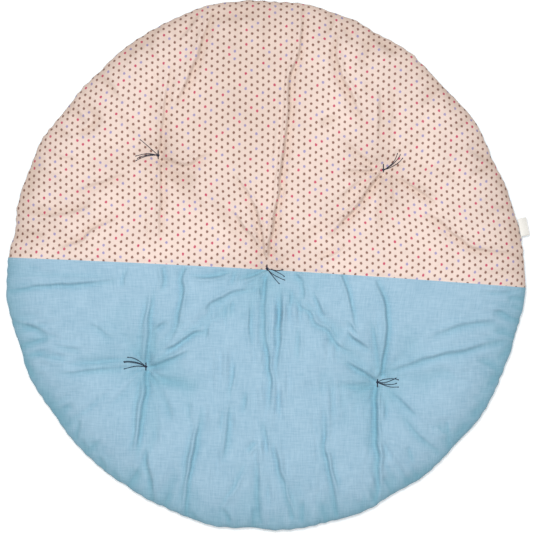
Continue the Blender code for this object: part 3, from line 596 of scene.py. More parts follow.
@dataclass
class CushionForm:
    """The cushion's shape, from the same rules as the solid that it dresses, with finer relief.

    The pair of a tuft, or of the painted shade round a tie or towards the rim, is its reach and its depth in
    metres. The pair of a scale is for the half width and the depth, and that of a strength is its base and
    its swing.
    """

    mean_radius: float = 0.4892
    seam_rise: float = 0.024
    seam_wave_share: float = 0.35
    seam_wave_sharpness: int = 8
    edge_roll: float = 0.040
    edge_sharpness: int = 5
    back_flat_share: float = 0.74
    back_sharpness: int = 4
    tuft_wide: tuple[float, float] = (0.115, 0.010)
    tuft_tight: tuple[float, float] = (0.034, 0.009)
    back_tuft: tuple[float, float] = (0.048, 0.005)
    valley_share: float = 0.72
    valley_place: float = -0.35
    valley_spread: float = 1.9
    pleat_share: float = 0.44
    pleat_place: float = 1.35
    pleat_spread: float = 0.95
    taper: float = 0.45
    dotted_scale: tuple[float, float] = (1.08, 1.45)
    blue_scale: tuple[float, float] = (1.12, 1.20)
    seam_dip: float = 0.0022
    seam_dip_width: float = 0.0042
    seam_steps: int = 24
    pucker_width: float = 5.0
    pucker_depth: float = 4.6
    scallop: float = 0.0010
    scallop_count: int = 118
    scallop_drift: float = 2.4
    scallop_drift_waves: Ripple = Ripple(0.12, 5)
    scallop_strength: tuple[float, float] = (0.55, 0.45)
    scallop_strength_waves: Ripple = Ripple(0.09, 6)
    edge_gather: float = 0.0017
    edge_gather_reach: float = 0.055
    edge_gather_waves: Ripple = Ripple(0.021, 11)
    edge_gather_strength: tuple[float, float] = (0.7, 0.5)
    edge_gather_strength_waves: Ripple = Ripple(0.11, 12)
    tie_gather: float = 0.0010
    tie_gather_peak: float = 0.0225
    tie_gather_count: int = 17
    tie_gather_first_seed: int = 20
    long_gather: float = 0.0021
    long_gather_waves: Ripple = Ripple(0.017, 31)
    long_gather_stretch: tuple[float, float] = (1.0, 6.0)
    long_gather_middle: float = 0.01
    long_gather_half_width: float = 0.13
    long_gather_start: float = 0.08
    long_gather_strength: tuple[float, float] = (0.55, 0.75)
    long_gather_strongest: float = 1.5
    long_gather_strength_waves: Ripple = Ripple(0.075, 34)
    faint_gather: float = 0.0006
    faint_gather_waves: Ripple = Ripple(0.060, 32)
    finest_gather: float = 0.0002
    finest_gather_waves: Ripple = Ripple(0.024, 33)
    wander: float = 0.0012
    wander_wavelength: float = 0.045
    wander_seeds: tuple[int, int] = (41, 42)
    rim_samples: int = 200
    # Painted shade of a leaning crease: foot_* put a painted dark line at the foot of its pleat's steep wall,
    # and pleat_light is the share of the painted shade that the pleat's top is spared
    foot_share: float = 0.45
    foot_place: float = 0.30
    foot_spread: float = 0.50
    pleat_cover: float = 0.7
    pleat_light: float = 0.8
    ridge_ends: tuple[float, float] = (0.1, 0.9)
    crease_reach: float = 4.5
    # Share of the fine gathers' sinking that adds painted shade
    fine_painted_shade: float = 0.6
    back_gather_rise: float = 4.0
    back_gather_end: int = 8
    # Painted shade spread beside each crease, round each tie and towards the edge seam: the spread in half
    # widths and its share, then reach and depth pairs
    wide_painted_shade: float = 2.6
    wide_painted_shade_share: float = 0.15
    painted_tie_shade: tuple[float, float] = (0.055, 0.0022)
    painted_rim_shade: tuple[float, float] = (0.007, 0.0052)
    swell: PlanGrid | None = None
    creases: list[Crease] = field(default_factory=list)

    def __post_init__(self) -> None:
        """Gathers the creases: the listed ones and a short one at each pucker of the edge."""
        puckers = [self.pucker_crease(row) for row in PUCKERS if row.fold_length]
        self.creases = [self.scaled(row, self.dotted_scale) for row in DOTTED_CREASES]
        self.creases += [self.scaled(row, self.blue_scale) for row in [*BLUE_CREASES, *puckers]]

    @staticmethod
    def scaled(crease: Crease, scale: tuple[float, float]) -> Crease:
        """The crease with its half width and its depth scaled, as its cloth is stiffer or limper."""
        return crease._replace(half_width=scale[0] * crease.half_width, depth=scale[1] * crease.depth)

    def pucker_swing(self, angle: Array) -> Array:
        """How far the puckers and puffs move the edge, out where it is above zero."""
        swing = np.zeros(np.shape(angle))
        for pucker in PUCKERS:
            away = np.angle(np.exp(1j * (angle - math.radians(pucker.angle))))
            swing += pucker.swing * MM * np.exp(-((away / math.radians(pucker.half_width)) ** 2))
        return swing

    def rim_radius(self, angle: Array) -> Array:
        """Distance from the middle to the edge seam, for an array of angles in radians."""
        angle = np.asarray(angle, float)
        radius = self.mean_radius + self.pucker_swing(angle)
        for lobe in LOBES:
            radius += lobe.swing * MM * np.cos(lobe.count * (angle - math.radians(lobe.peak)))
        return radius

    def scalloped_radius(self, angle: Array) -> Array:
        """The edge seam's distance from the middle, with the small scallops between its stitches."""
        circle = unit_steps(angle) * self.mean_radius
        phase = self.scallop_drift * ripples(circle, *self.scallop_drift_waves)
        base, swing = self.scallop_strength
        strength = base + swing * ripples(circle, *self.scallop_strength_waves)
        return self.rim_radius(angle) + self.scallop * strength * np.sin(self.scallop_count * angle + phase)

    def seam_height(self, angle: Array) -> Array:
        """Height of the edge seam: it dips at each pucker and lifts between them."""
        return self.seam_rise + self.seam_wave_share * self.pucker_swing(angle)

    def pucker_crease(self, pucker: Pucker) -> Crease:
        """The short crease that runs in from a pucker of the edge."""
        angle = math.radians(pucker.angle)
        outer = float(self.rim_radius(angle)) / MM
        reaches = (outer, outer - 0.5 * pucker.fold_length, outer - pucker.fold_length)
        places = tuple((reach * math.cos(angle), reach * math.sin(angle)) for reach in reaches)
        return Crease(places, self.pucker_width, self.pucker_depth, 1.0, 0.0)

    def crease_strength(self, crease: Crease, along: Array) -> Array:
        """The share of a crease's depth at each share of the way along it."""
        near_start = np.clip(1.0 - along / self.taper, 0.0, 1.0) ** 2
        near_end = np.clip(1.0 - (1.0 - along) / self.taper, 0.0, 1.0) ** 2
        return 1.0 - (1.0 - crease.start) * near_start - (1.0 - crease.end) * near_end

    def near_curve(self, points: Array, curve: Array, width: float) -> Array:
        """Numbers of the points that lie near enough to a curve to feel it."""
        low = curve.min(axis=0) - self.crease_reach * width
        high = curve.max(axis=0) + self.crease_reach * width
        return np.flatnonzero(((points > low) & (points < high)).all(axis=1))

    def relief(self, points: Array) -> tuple[Array, Array]:
        """Height that the seam, the creases and the ridges add, and the painted shade in their hollows.

        Args:
            points: Plan points in metres.

        Returns:
            Metres for each point, below zero in the hollows and above it on the pleats and ridges, and
            the painted shade that each point takes, as a hollow depth in metres, spread also a little way
            beside each crease.
        """
        seam = beside_curve(points, bow_curve(PANEL_SEAM, self.seam_steps))
        valley = self.seam_dip * np.exp(-((seam.left / self.seam_dip_width) ** 2))
        pleat = np.zeros(len(points))
        closeness = np.zeros(len(points))
        hollow = np.zeros(len(points))
        for crease in self.creases:
            width = crease.half_width * MM
            curve = rounded_curve(crease.places)
            near = self.near_curve(points, curve, width)
            if not len(near):
                continue
            spot = beside_curve(points[near], curve)
            offset = spot.left * (crease.lean or 1) / width
            strength = self.crease_strength(crease, spot.along) * np.exp(-((spot.past / width) ** 2))
            depth = crease.depth * MM * strength
            if crease.lean:
                shift = offset - self.valley_place
                shift = np.where(shift < 0.0, shift / self.valley_spread, shift)
                shape = np.exp(-(shift**2))
                raised = np.exp(-(((offset - self.pleat_place) / self.pleat_spread) ** 2))
                valley[near] = np.maximum(valley[near], self.valley_share * depth * shape)
                pleat[near] = np.maximum(pleat[near], self.pleat_share * depth * raised)
                closeness[near] = np.maximum(closeness[near], self.pleat_cover * strength * shape)
                # Painted shade of a leaning crease: strongest on its valley floor, with a painted dark line
                # at the foot of the pleat's steep wall, and less on the pleat's top
                foot = self.foot_share * np.exp(-(((offset - self.foot_place) / self.foot_spread) ** 2))
                wide = (1.0 - self.foot_share) * shape**2.0 * (1.0 - self.pleat_light * raised)
                floor = depth * (wide + foot)
            else:
                # A soft hollow's valley, which also sets its painted shade
                floor = depth * np.exp(-(offset**2))
                valley[near] = np.maximum(valley[near], floor)
            # Painted shade also spreads a little way beside each crease
            beside = self.wide_painted_shade_share * depth * np.exp(-((offset / self.wide_painted_shade) ** 2))
            hollow[near] = np.maximum(hollow[near], np.maximum(floor, beside))
        for ridge in RIDGES:
            width = ridge.half_width * MM
            curve = rounded_curve(ridge.places)
            near = self.near_curve(points, curve, width)
            if not len(near):
                continue
            spot = beside_curve(points[near], curve)
            shape = np.exp(-((spot.left / width) ** 2) - (spot.past / width) ** 2)
            arch = np.sin(math.pi * np.clip(spot.along, *self.ridge_ends))
            pleat[near] += ridge.height * MM * shape * arch
        return pleat * (1.0 - closeness) - valley, hollow

    def gathers(self, points: Array, angle: Array, share: Array) -> Array:
        """Fine gathers: round the edge, round each tie, and the long faint ones below the middle."""
        away = (1.0 - share) / self.edge_gather_reach
        swell = away * np.exp(1.0 - away)
        circle = unit_steps(angle) * self.mean_radius
        base, swing = self.edge_gather_strength
        strength = base + swing * ripples(circle, *self.edge_gather_strength_waves)
        rise = self.edge_gather * swell * ripples(circle, *self.edge_gather_waves) * strength
        for index, tie in enumerate(TIES):
            offset = points - np.array([tie.x, tie.y]) * MM
            radius = np.linalg.norm(offset, axis=1)
            turn = np.arctan2(offset[:, 1], offset[:, 0])
            ring = unit_steps(turn)
            wave = ripples(ring, TURN / self.tie_gather_count, self.tie_gather_first_seed + index)
            out = radius / self.tie_gather_peak
            rise += self.tie_gather * out * np.exp(1.0 - out) * wave
        aside = (points[:, 0] - self.long_gather_middle) / self.long_gather_half_width
        low_middle = np.exp(-(aside**2)) * np.clip(-points[:, 1] / self.long_gather_start, 0.0, 1.0)
        base, swing = self.long_gather_strength
        strength = base + swing * ripples(points, *self.long_gather_strength_waves)
        uneven = np.clip(strength, 0.0, self.long_gather_strongest)
        wave = ripples(points, *self.long_gather_waves, self.long_gather_stretch)
        rise += self.long_gather * low_middle * uneven * wave
        faint = self.faint_gather * ripples(points, *self.faint_gather_waves)
        rise += faint + self.finest_gather * ripples(points, *self.finest_gather_waves)
        return rise

    def polar(self, points: Array) -> tuple[Array, Array]:
        """Angle of each point, and its distance from the middle as a share of the edge's."""
        angle = np.arctan2(points[:, 1], points[:, 0])
        share = np.hypot(points[:, 0], points[:, 1]) / self.scalloped_radius(angle)
        return angle, np.minimum(share, 1.0)

    def roll_share(self, share: Array) -> Array:
        """How far the front's rounded edge has risen, as a share of its whole rise."""
        return np.sqrt(1.0 - share**self.edge_sharpness)

    def front_roll(self, share: Array) -> Array:
        """How high the front's rounded edge has risen above the seam, at shares of the way out."""
        return self.edge_roll * self.roll_share(share)

    def back_rise(self, share: Array) -> Array:
        """The share of the way from the flat part of the back to the seam."""
        return np.clip((share - self.back_flat_share) / (1.0 - self.back_flat_share), 0.0, 1.0)

    def back_roll(self, share: Array) -> Array:
        """How far the back has turned up towards the seam, as a share of the seam's height."""
        return 1.0 - np.sqrt(1.0 - self.back_rise(share) ** self.back_sharpness)

    def rim_shade(self, share: Array) -> Array:
        """Painted shade towards the edge seam, counted as a hollow depth in metres, at shares of the way out.
        """
        inward = (1.0 - share) * self.mean_radius / self.painted_rim_shade[0]
        return self.painted_rim_shade[1] * np.exp(-inward)

    def smooth_height(self, points: Array) -> Array:
        """Height of the front over each plan point, drawn down at the ties but without any crease."""
        angle, share = self.polar(points)
        height = self.seam_rise + self.front_roll(share)
        height += self.seam_wave_share * self.pucker_swing(angle) * share**self.seam_wave_sharpness
        for tie in TIES:
            distance = tie_distance(points, tie)
            height -= self.tuft_wide[1] * bump(distance / self.tuft_wide[0])
            height -= self.tuft_tight[1] * bump(distance / self.tuft_tight[0])
        return height

    def front_surface(self, points: Array) -> tuple[Array, Array]:
        """The front over each plan point, with all its relief.

        Args:
            points: Plan points in metres.

        Returns:
            The height of each, and the painted shade that it takes as a hollow depth, both in metres.
        """
        angle, share = self.polar(points)
        drift = np.column_stack([ripples(points, self.wander_wavelength, seed) for seed in self.wander_seeds])
        relief, hollow = self.relief(points + self.wander * drift)
        fine = self.gathers(points, angle, share)
        if self.swell is not None:
            fine += self.swell.sample(points)
        relief += fine
        # Painted shade, counted as hollow depth: in the fine gathers' hollows, round each tie and towards the
        # edge seam
        hollow += self.fine_painted_shade * np.maximum(0.0, -fine)
        for tie in TIES:
            distance = tie_distance(points, tie)
            hollow += self.painted_tie_shade[1] * bump(distance / self.painted_tie_shade[0])
        hollow += self.rim_shade(share)
        return self.smooth_height(points) + relief * self.roll_share(share), hollow

    def back_height(self, points: Array) -> Array:
        """Height of the back: flat where it rests, drawn up at the ties and towards the edge."""
        angle, share = self.polar(points)
        rise = self.back_rise(share)
        height = self.seam_height(angle) * self.back_roll(share)
        gather = np.maximum(0.0, self.gathers(points, angle, share))
        gather *= np.clip(self.back_gather_rise * rise, 0.0, 1.0)
        height += gather * (1.0 - rise**self.back_gather_end)
        for tie in TIES:
            distance = tie_distance(points, tie)
            height += self.back_tuft[1] * bump(distance / self.back_tuft[0])
        return height

    def shift_onto(self, node: str) -> Array:
        """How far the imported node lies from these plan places.

        Args:
            node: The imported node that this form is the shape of.

        Returns:
            The X and Y to add, in metres.
        """
        angles = np.arange(self.rim_samples) * (TURN / self.rim_samples)
        rim = self.rim_radius(angles)[:, None] * unit_steps(angles)
        low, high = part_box(node)
        wanted = 0.5 * np.array([low.x + high.x, low.y + high.y])
        return wanted - 0.5 * (rim.min(axis=0) + rim.max(axis=0))


class Side(Enum):
    """The two halves of the front, by the side of the panel seam that they lie on."""

    DOTTED = 0
    BLUE = 1


@dataclass
class RingNet:
    """A net of rings inside the edge, whose count of points halves towards the middle.

    The rings are centred on the panel seam, so that two of their rays follow it.
    """

    form: CushionForm
    edge_points: int
    shares: Sequence[float]
    halve_below: Sequence[float]
    centre: tuple[float, float] = (PANEL_SEAM.x1 * MM, PANEL_SEAM.y1 * MM)
    seam_blend: float = 0.06
    seam_steps: int = 40

    def __post_init__(self) -> None:
        """Lays out the plan places of the rings and of the middle."""
        self.rings: list[Array] = []
        places: list[Array] = []
        start = 0
        for share in self.shares:
            count = self.edge_points
            for limit in self.halve_below:
                if share < limit:
                    count //= 2
            self.rings.append(np.arange(start, start + count))
            places.append(self.ring_places(share, count))
            start += count
        self.middle = start
        places.append(np.array([self.centre]))
        self.plan = np.concatenate(places)
        self.plan[:, 1] += self.seam_lean(self.plan)

    def edge_angles(self, count: int) -> Array:
        """Angles of the edge's points: even over each half, with the first on the seam's right end."""
        right = math.atan2(PANEL_SEAM.y2, PANEL_SEAM.x2)
        left = math.atan2(PANEL_SEAM.y0, PANEL_SEAM.x0)
        half = count // 2
        upper = np.linspace(right, left, half, endpoint=False)
        lower = np.linspace(left, right + TURN, half, endpoint=False)
        return np.concatenate([upper, lower])

    def ring_places(self, share: float, count: int) -> Array:
        """Plan points of the ring that lies at this share of the way from the middle to the edge."""
        angles = self.edge_angles(self.edge_points)[:: self.edge_points // count]
        edge = self.form.scalloped_radius(angles)[:, None] * unit_steps(angles)
        return np.array(self.centre) + share * (edge - np.array(self.centre))

    def seam_lean(self, points: Array) -> Array:
        """How far up each point moves so that the two rays on the seam follow its bow."""
        curve = bow_curve(PANEL_SEAM, self.seam_steps)
        bowed = np.interp(points[:, 0], curve[:, 0], curve[:, 1])
        corners = np.array([curve[0], self.centre, curve[-1]])
        straight = np.interp(points[:, 0], corners[:, 0], corners[:, 1])
        away = (points[:, 1] - straight) / self.seam_blend
        return (bowed - straight) * np.exp(-(away**2))

    def faces(self) -> list[tuple[Side, tuple[int, ...]]]:
        """Every face with the half of the front that it belongs to, turned to face up."""
        found: list[tuple[Side, tuple[int, ...]]] = []
        for outer, inner in zip(self.rings, self.rings[1:]):
            count = len(outer)
            ratio = count // len(inner)
            for index in range(len(inner)):
                side = Side.DOTTED if index < len(inner) // 2 else Side.BLUE
                near, far = int(inner[index]), int(inner[(index + 1) % len(inner)])
                first = int(outer[index * ratio])
                last = int(outer[(index * ratio + ratio) % count])
                if ratio == 1:
                    found.append((side, (first, last, far, near)))
                    continue
                mid = int(outer[index * ratio + 1])
                found.append((side, (first, mid, near)))
                found.append((side, (mid, far, near)))
                found.append((side, (mid, last, far)))
        last_ring = self.rings[-1]
        count = len(last_ring)
        for index in range(count):
            side = Side.DOTTED if index < count // 2 else Side.BLUE
            found.append((side, (int(last_ring[index]), int(last_ring[(index + 1) % count]), self.middle)))
        return found


@dataclass
class SimulatedSwell:
    """The front's puffs and wrinkles, found by letting its cloth give way to the filling's pressure.

    The cloth is cut a little larger than its place, and is held at the edge seam and at the ties. The
    filling holds the rest of it softly.
    """

    form: CushionForm
    step: float = 0.0075
    reach: float = 0.506
    spare: float = 0.02
    pressure: float = 4.0
    bending: float = 0.5
    filling_hold: float = 0.05
    tie_hold: float = 0.012
    frames: int = 20
    cap: float = 0.0032
    broad: float = 0.040
    least_weight: float = 0.05
    edge_hold_share: float = 0.975
    quality: int = 5
    mass: float = 0.25
    stiffness: float = 25.0

    def run(self) -> PlanGrid:
        """Simulates the cloth and keeps how far its wrinkles rise and sink.

        Returns:
            The rise over the plan, with the broad swelling taken out and no more than the cap.
        """
        grid = PlanGrid(self.reach, self.step)
        points = grid.points()
        angle = np.arctan2(points[:, 1], points[:, 0])
        share = np.hypot(points[:, 0], points[:, 1]) / self.form.rim_radius(angle)
        start = self.form.smooth_height(points)
        cloth = self.cloth_object(grid, points, share, start)
        scene = bpy.context.scene
        for frame_number in range(1, self.frames + 1):
            scene.frame_set(frame_number)
        evaluated = cloth.evaluated_get(bpy.context.evaluated_depsgraph_get())
        count = len(cloth.data.vertices)
        settled = np.empty(3 * count)
        evaluated.data.vertices.foreach_get("co", settled)
        rise = np.zeros(len(points))
        rise[self.kept] = settled.reshape(-1, 3)[:, 2] - start[self.kept]
        mesh = cloth.data
        bpy.data.objects.remove(cloth)
        bpy.data.meshes.remove(mesh)
        scene.frame_set(1)
        size = len(grid.ticks)
        rise = rise.reshape(size, size)
        inside = (share.reshape(size, size) < 1.0).astype(float)
        weight = grid.smoothed(inside, self.broad)
        swelling = grid.smoothed(rise * inside, self.broad)
        wrinkles = (rise - swelling / np.maximum(weight, self.least_weight)) * inside
        LOG.info("simulated wrinkles: %.1f mm deep on average", float(np.abs(wrinkles).mean()) / MM)
        grid.values = self.cap * np.tanh(wrinkles / self.cap)
        return grid

    def cloth_object(self, grid: PlanGrid, points: Array, share: Array, start: Array) -> Piece:
        """The cloth's mesh with its cut, its hold and its simulation."""
        size = len(grid.ticks)
        inside = share.reshape(size, size) < 1.0
        corners = inside[:-1, :-1] & inside[:-1, 1:] & inside[1:, 1:] & inside[1:, :-1]
        rows, columns = np.nonzero(corners)
        low = rows * size + columns
        quads = np.column_stack([low, low + 1, low + size + 1, low + size])
        self.kept = np.unique(quads)
        number = np.full(len(points), -1)
        number[self.kept] = np.arange(len(self.kept))
        places = np.column_stack([points, start])[self.kept]
        mesh = bpy.data.meshes.new("front_cloth")
        mesh.from_pydata(places.tolist(), [], number[quads].tolist())
        cloth = bpy.data.objects.new("front_cloth", mesh)
        bpy.context.scene.collection.objects.link(cloth)
        hold = self.hold_group(cloth, points[self.kept], share[self.kept])
        settings = cloth.modifiers.new("cloth", "CLOTH").settings
        settings.shrink_min = -self.spare
        settings.vertex_group_mass = hold
        settings.pin_stiffness = 1.0
        settings.quality = self.quality
        settings.mass = self.mass
        settings.bending_stiffness = self.bending
        settings.tension_stiffness = self.stiffness
        settings.compression_stiffness = self.stiffness
        settings.use_pressure = True
        settings.uniform_pressure_force = self.pressure
        settings.effector_weights.gravity = 0.0
        return cloth

    def hold_group(self, cloth: Piece, plan: Array, share: Array) -> str:
        """Marks how firmly each point is held, and returns the group's name."""
        firm = share > self.edge_hold_share
        for tie in TIES:
            firm |= tie_distance(plan, tie) < self.tie_hold
        group = cloth.vertex_groups.new(name="held_by_filling")
        group.add(np.flatnonzero(firm).tolist(), 1.0, "REPLACE")
        group.add(np.flatnonzero(~firm).tolist(), self.filling_hold, "REPLACE")
        return group.name


@dataclass
class FlatCut:
    """Lays the finished front out flat again, so that its print and weave lie as on the real cloth."""

    form: CushionForm
    reach: float = 0.52
    step: float = 0.0025
    spread: float = 0.030
    grain_lean: float = math.radians(-0.7)
    inner_share: float = 0.985
    roll_samples: int = 400
    roll_crowding: int = 3
    steepest: float = 2.0

    def __post_init__(self) -> None:
        """Adds up the cloth's length along X and Y over a grid of the whole front."""
        grid = PlanGrid(self.reach, self.step)
        points = grid.points()
        size = len(grid.ticks)
        share = self.form.polar(points)[1]
        height = (self.form.front_surface(points)[0] - self.form.front_roll(share)).reshape(size, size)
        inside = (share.reshape(size, size) < self.inner_share).astype(float)
        middle = size // 2
        self.grids: list[PlanGrid] = []
        for axis, along in ((1, 0), (0, 1)):
            extra = self.extra_length(np.gradient(height, self.step, axis=axis)) * inside
            added = np.cumsum(grid.blurred(extra, self.spread, along), axis=axis) * self.step
            added -= np.take(added, [middle], axis=axis)
            self.grids.append(PlanGrid(self.reach, self.step, added))

    def rolled_out(self, points: Array, roll: Callable[[Array], Array]) -> Array:
        """How far each place moves outward when the cushion's rounded edge is laid out flat.

        Args:
            points: Plan points in metres.
            roll: Height of the rounded edge in metres, for shares of the way out.

        Returns:
            The X and Y to add to each point.
        """
        shares = 1.0 - np.linspace(1.0, 0.0, self.roll_samples) ** self.roll_crowding
        lengths = np.hypot(np.diff(shares) * self.form.mean_radius, np.diff(roll(shares)))
        extra = np.concatenate([[0.0], np.cumsum(lengths)]) - shares * self.form.mean_radius
        angle, share = self.form.polar(points)
        return unit_steps(angle) * np.interp(share, shares, extra)[:, None]

    def extra_length(self, slope: Array) -> Array:
        """Cloth used over each metre of plan, less the metre, for a slope capped at the steepest."""
        return np.sqrt(1.0 + np.clip(slope, -self.steepest, self.steepest) ** 2) - 1.0

    def places(self, points: Array) -> Array:
        """Flat-cut places of plan points, in metres, turned to lie along the cloth's grain.

        Args:
            points: Plan points in metres.

        Returns:
            The flat places, one to a row.
        """
        flat = points + np.column_stack([grid.sample(points) for grid in self.grids])
        flat += self.rolled_out(points, self.form.front_roll)
        lean = self.grain_lean
        turn = np.array([[math.cos(lean), -math.sin(lean)], [math.sin(lean), math.cos(lean)]])
        return flat @ turn


class Noise(NamedTuple):
    """A smooth noise over places in metres: its scale, its detail and its roughness."""

    scale: float
    detail: float = 2.0
    roughness: float = 0.5


class Finish(NamedTuple):
    """How a surface takes light: its roughness, sheen and specular level."""

    roughness: float
    sheen: float = 0.0
    specular: float = 0.5
    sheen_roughness: float = 0.45


class Relief(NamedTuple):
    """A fine relief that is only shaded: its height in metres and its strength."""

    distance: float
    strength: float


class Swing(NamedTuple):
    """A span to spread a value from 0 to 1 over: how wide it is and where it starts."""

    width: float
    start: float


class NodeGraph:
    """Short ways to add and join shader nodes in one material."""

    def __init__(self, name: str) -> None:
        """Starts a material of that name with an empty graph and a Principled shader."""
        self.material = bpy.data.materials.new(name)
        self.material.use_nodes = True
        self.nodes = self.material.node_tree.nodes
        self.links = self.material.node_tree.links
        self.shader = self.nodes["Principled BSDF"]

    def feed(self, socket: Socket, value: object) -> None:
        """Joins a socket to another node's output, or sets it to a plain value."""
        if isinstance(value, Socket):
            self.links.new(value, socket)
        else:
            socket.default_value = value

    def math(self, operation: str, *values: object) -> Socket:
        """A Math node's result."""
        node = self.nodes.new("ShaderNodeMath")
        node.operation = operation
        for socket, value in zip(node.inputs, values):
            self.feed(socket, value)
        return node.outputs[0]

    def times(self, first: object, second: object) -> Socket:
        """The two multiplied."""
        return self.math("MULTIPLY", first, second)

    def plus(self, first: object, second: object) -> Socket:
        """The two added."""
        return self.math("ADD", first, second)

    def uv(self) -> tuple[Socket, Socket, Socket]:
        """The flat-cut place: the whole vector, its X and its Y."""
        node = self.nodes.new("ShaderNodeUVMap")
        node.uv_map = "flat_cut"
        parts = self.nodes.new("ShaderNodeSeparateXYZ")
        self.links.new(node.outputs[0], parts.inputs[0])
        return node.outputs[0], parts.outputs[0], parts.outputs[1]

    def swung(self, value: object, swing: Swing) -> Socket:
        """The value spread over a swing."""
        return self.math("MULTIPLY_ADD", value, swing.width, swing.start)

    def painted_fold_shade(self, colour: Socket, deep: Colour) -> Socket:
        """The cloth's colour, darkened by a painted shade towards the deep colour in its hollows and folds.
        """
        node = self.nodes.new("ShaderNodeAttribute")
        node.attribute_name = PAINTED_SHADE_ATTRIBUTE
        shade = self.mix(node.outputs["Fac"], WHITE, deep)
        return self.mix(1.0, colour, shade, "MULTIPLY")

    def vector(self, x: object, y: object, z: object = 0.0) -> Socket:
        """A vector from three numbers or outputs."""
        node = self.nodes.new("ShaderNodeCombineXYZ")
        for socket, value in zip(node.inputs, (x, y, z)):
            self.feed(socket, value)
        return node.outputs[0]

    def noise(self, vector: Socket, kind: Noise) -> Socket:
        """A smooth noise value, near 0.5 on average."""
        node = self.nodes.new("ShaderNodeTexNoise")
        self.links.new(vector, node.inputs["Vector"])
        node.inputs["Scale"].default_value = kind.scale
        node.inputs["Detail"].default_value = kind.detail
        node.inputs["Roughness"].default_value = kind.roughness
        return node.outputs["Fac"]

    def slubs(self, x: object, y: object, stretch: float, kind: Noise) -> tuple[object, object]:
        """Noise drawn out into long streaks, first along X and then along Y."""
        along_x = self.noise(self.vector(self.times(x, stretch), y), kind)
        along_y = self.noise(self.vector(x, self.times(y, stretch)), kind)
        return along_x, along_y

    def random(self, vector: Socket) -> Socket:
        """An even random number from 0 to 1 for each whole place."""
        node = self.nodes.new("ShaderNodeTexWhiteNoise")
        node.noise_dimensions = "3D"
        self.links.new(vector, node.inputs["Vector"])
        return node.outputs["Value"]

    def ramp(self, value: object, low: float, high: float, smooth: bool = True) -> Socket:
        """0 at or below low and 1 at or above high, also where low is the larger."""
        node = self.nodes.new("ShaderNodeMapRange")
        node.interpolation_type = "SMOOTHSTEP" if smooth else "LINEAR"
        self.feed(node.inputs["Value"], value)
        node.inputs["From Min"].default_value = low
        node.inputs["From Max"].default_value = high
        return node.outputs["Result"]

    def mix(self, share: object, first: object, second: object, blend: str = "MIX") -> Socket:
        """A colour mixed from two."""
        node = self.nodes.new("ShaderNodeMix")
        node.data_type = "RGBA"
        node.blend_type = blend
        self.feed(node.inputs["Factor"], share)
        self.feed(node.inputs[6], first)
        self.feed(node.inputs[7], second)
        return node.outputs[2]

    def bump_normal(self, height: Socket, relief: Relief) -> None:
        """Gives the shader a bump from a height that runs from 0 to 1."""
        node = self.nodes.new("ShaderNodeBump")
        node.inputs["Strength"].default_value = relief.strength
        node.inputs["Distance"].default_value = relief.distance
        self.links.new(height, node.inputs["Height"])
        self.links.new(node.outputs[0], self.shader.inputs["Normal"])

    def surface(self, colour: object, finish: Finish) -> None:
        """Sets the shader's colour and finish."""
        self.feed(self.shader.inputs["Base Color"], colour)
        self.shader.inputs["Roughness"].default_value = finish.roughness
        self.shader.inputs["Sheen Weight"].default_value = finish.sheen
        self.shader.inputs["Sheen Roughness"].default_value = finish.sheen_roughness
        self.shader.inputs["Specular IOR Level"].default_value = finish.specular


def linear(value: float) -> float:
    """The linear light of a screen value from 0 to 255, by the sRGB curve."""
    share = value / 255.0
    return ((share + 0.055) / 1.055) ** 2.4 if value > 10 else share / 12.92


def rgb(red: float, green: float, blue: float) -> Colour:
    """A colour given as screen values from 0 to 255, as the linear values that a shader takes."""
    return (linear(red), linear(green), linear(blue), 1.0)


@dataclass(frozen=True)
class PlainWeave:
    """The over-and-under of a plain woven cloth, as a height."""

    pitch: float = 0.00055

    def height(self, graph: NodeGraph, x: object, y: object) -> Socket:
        """Height from 0 to 1 of crossing threads.

        Args:
            graph: The material that it is made in.
            x: Flat-cut X output.
            y: Flat-cut Y output.

        Returns:
            The height's output.
        """
        pace = math.pi / self.pitch
        wave_x = graph.math("SINE", graph.times(x, pace))
        wave_y = graph.math("SINE", graph.times(y, pace))
        product = graph.times(wave_x, wave_y)
        return graph.math("MULTIPLY_ADD", product, 0.5, 0.5)


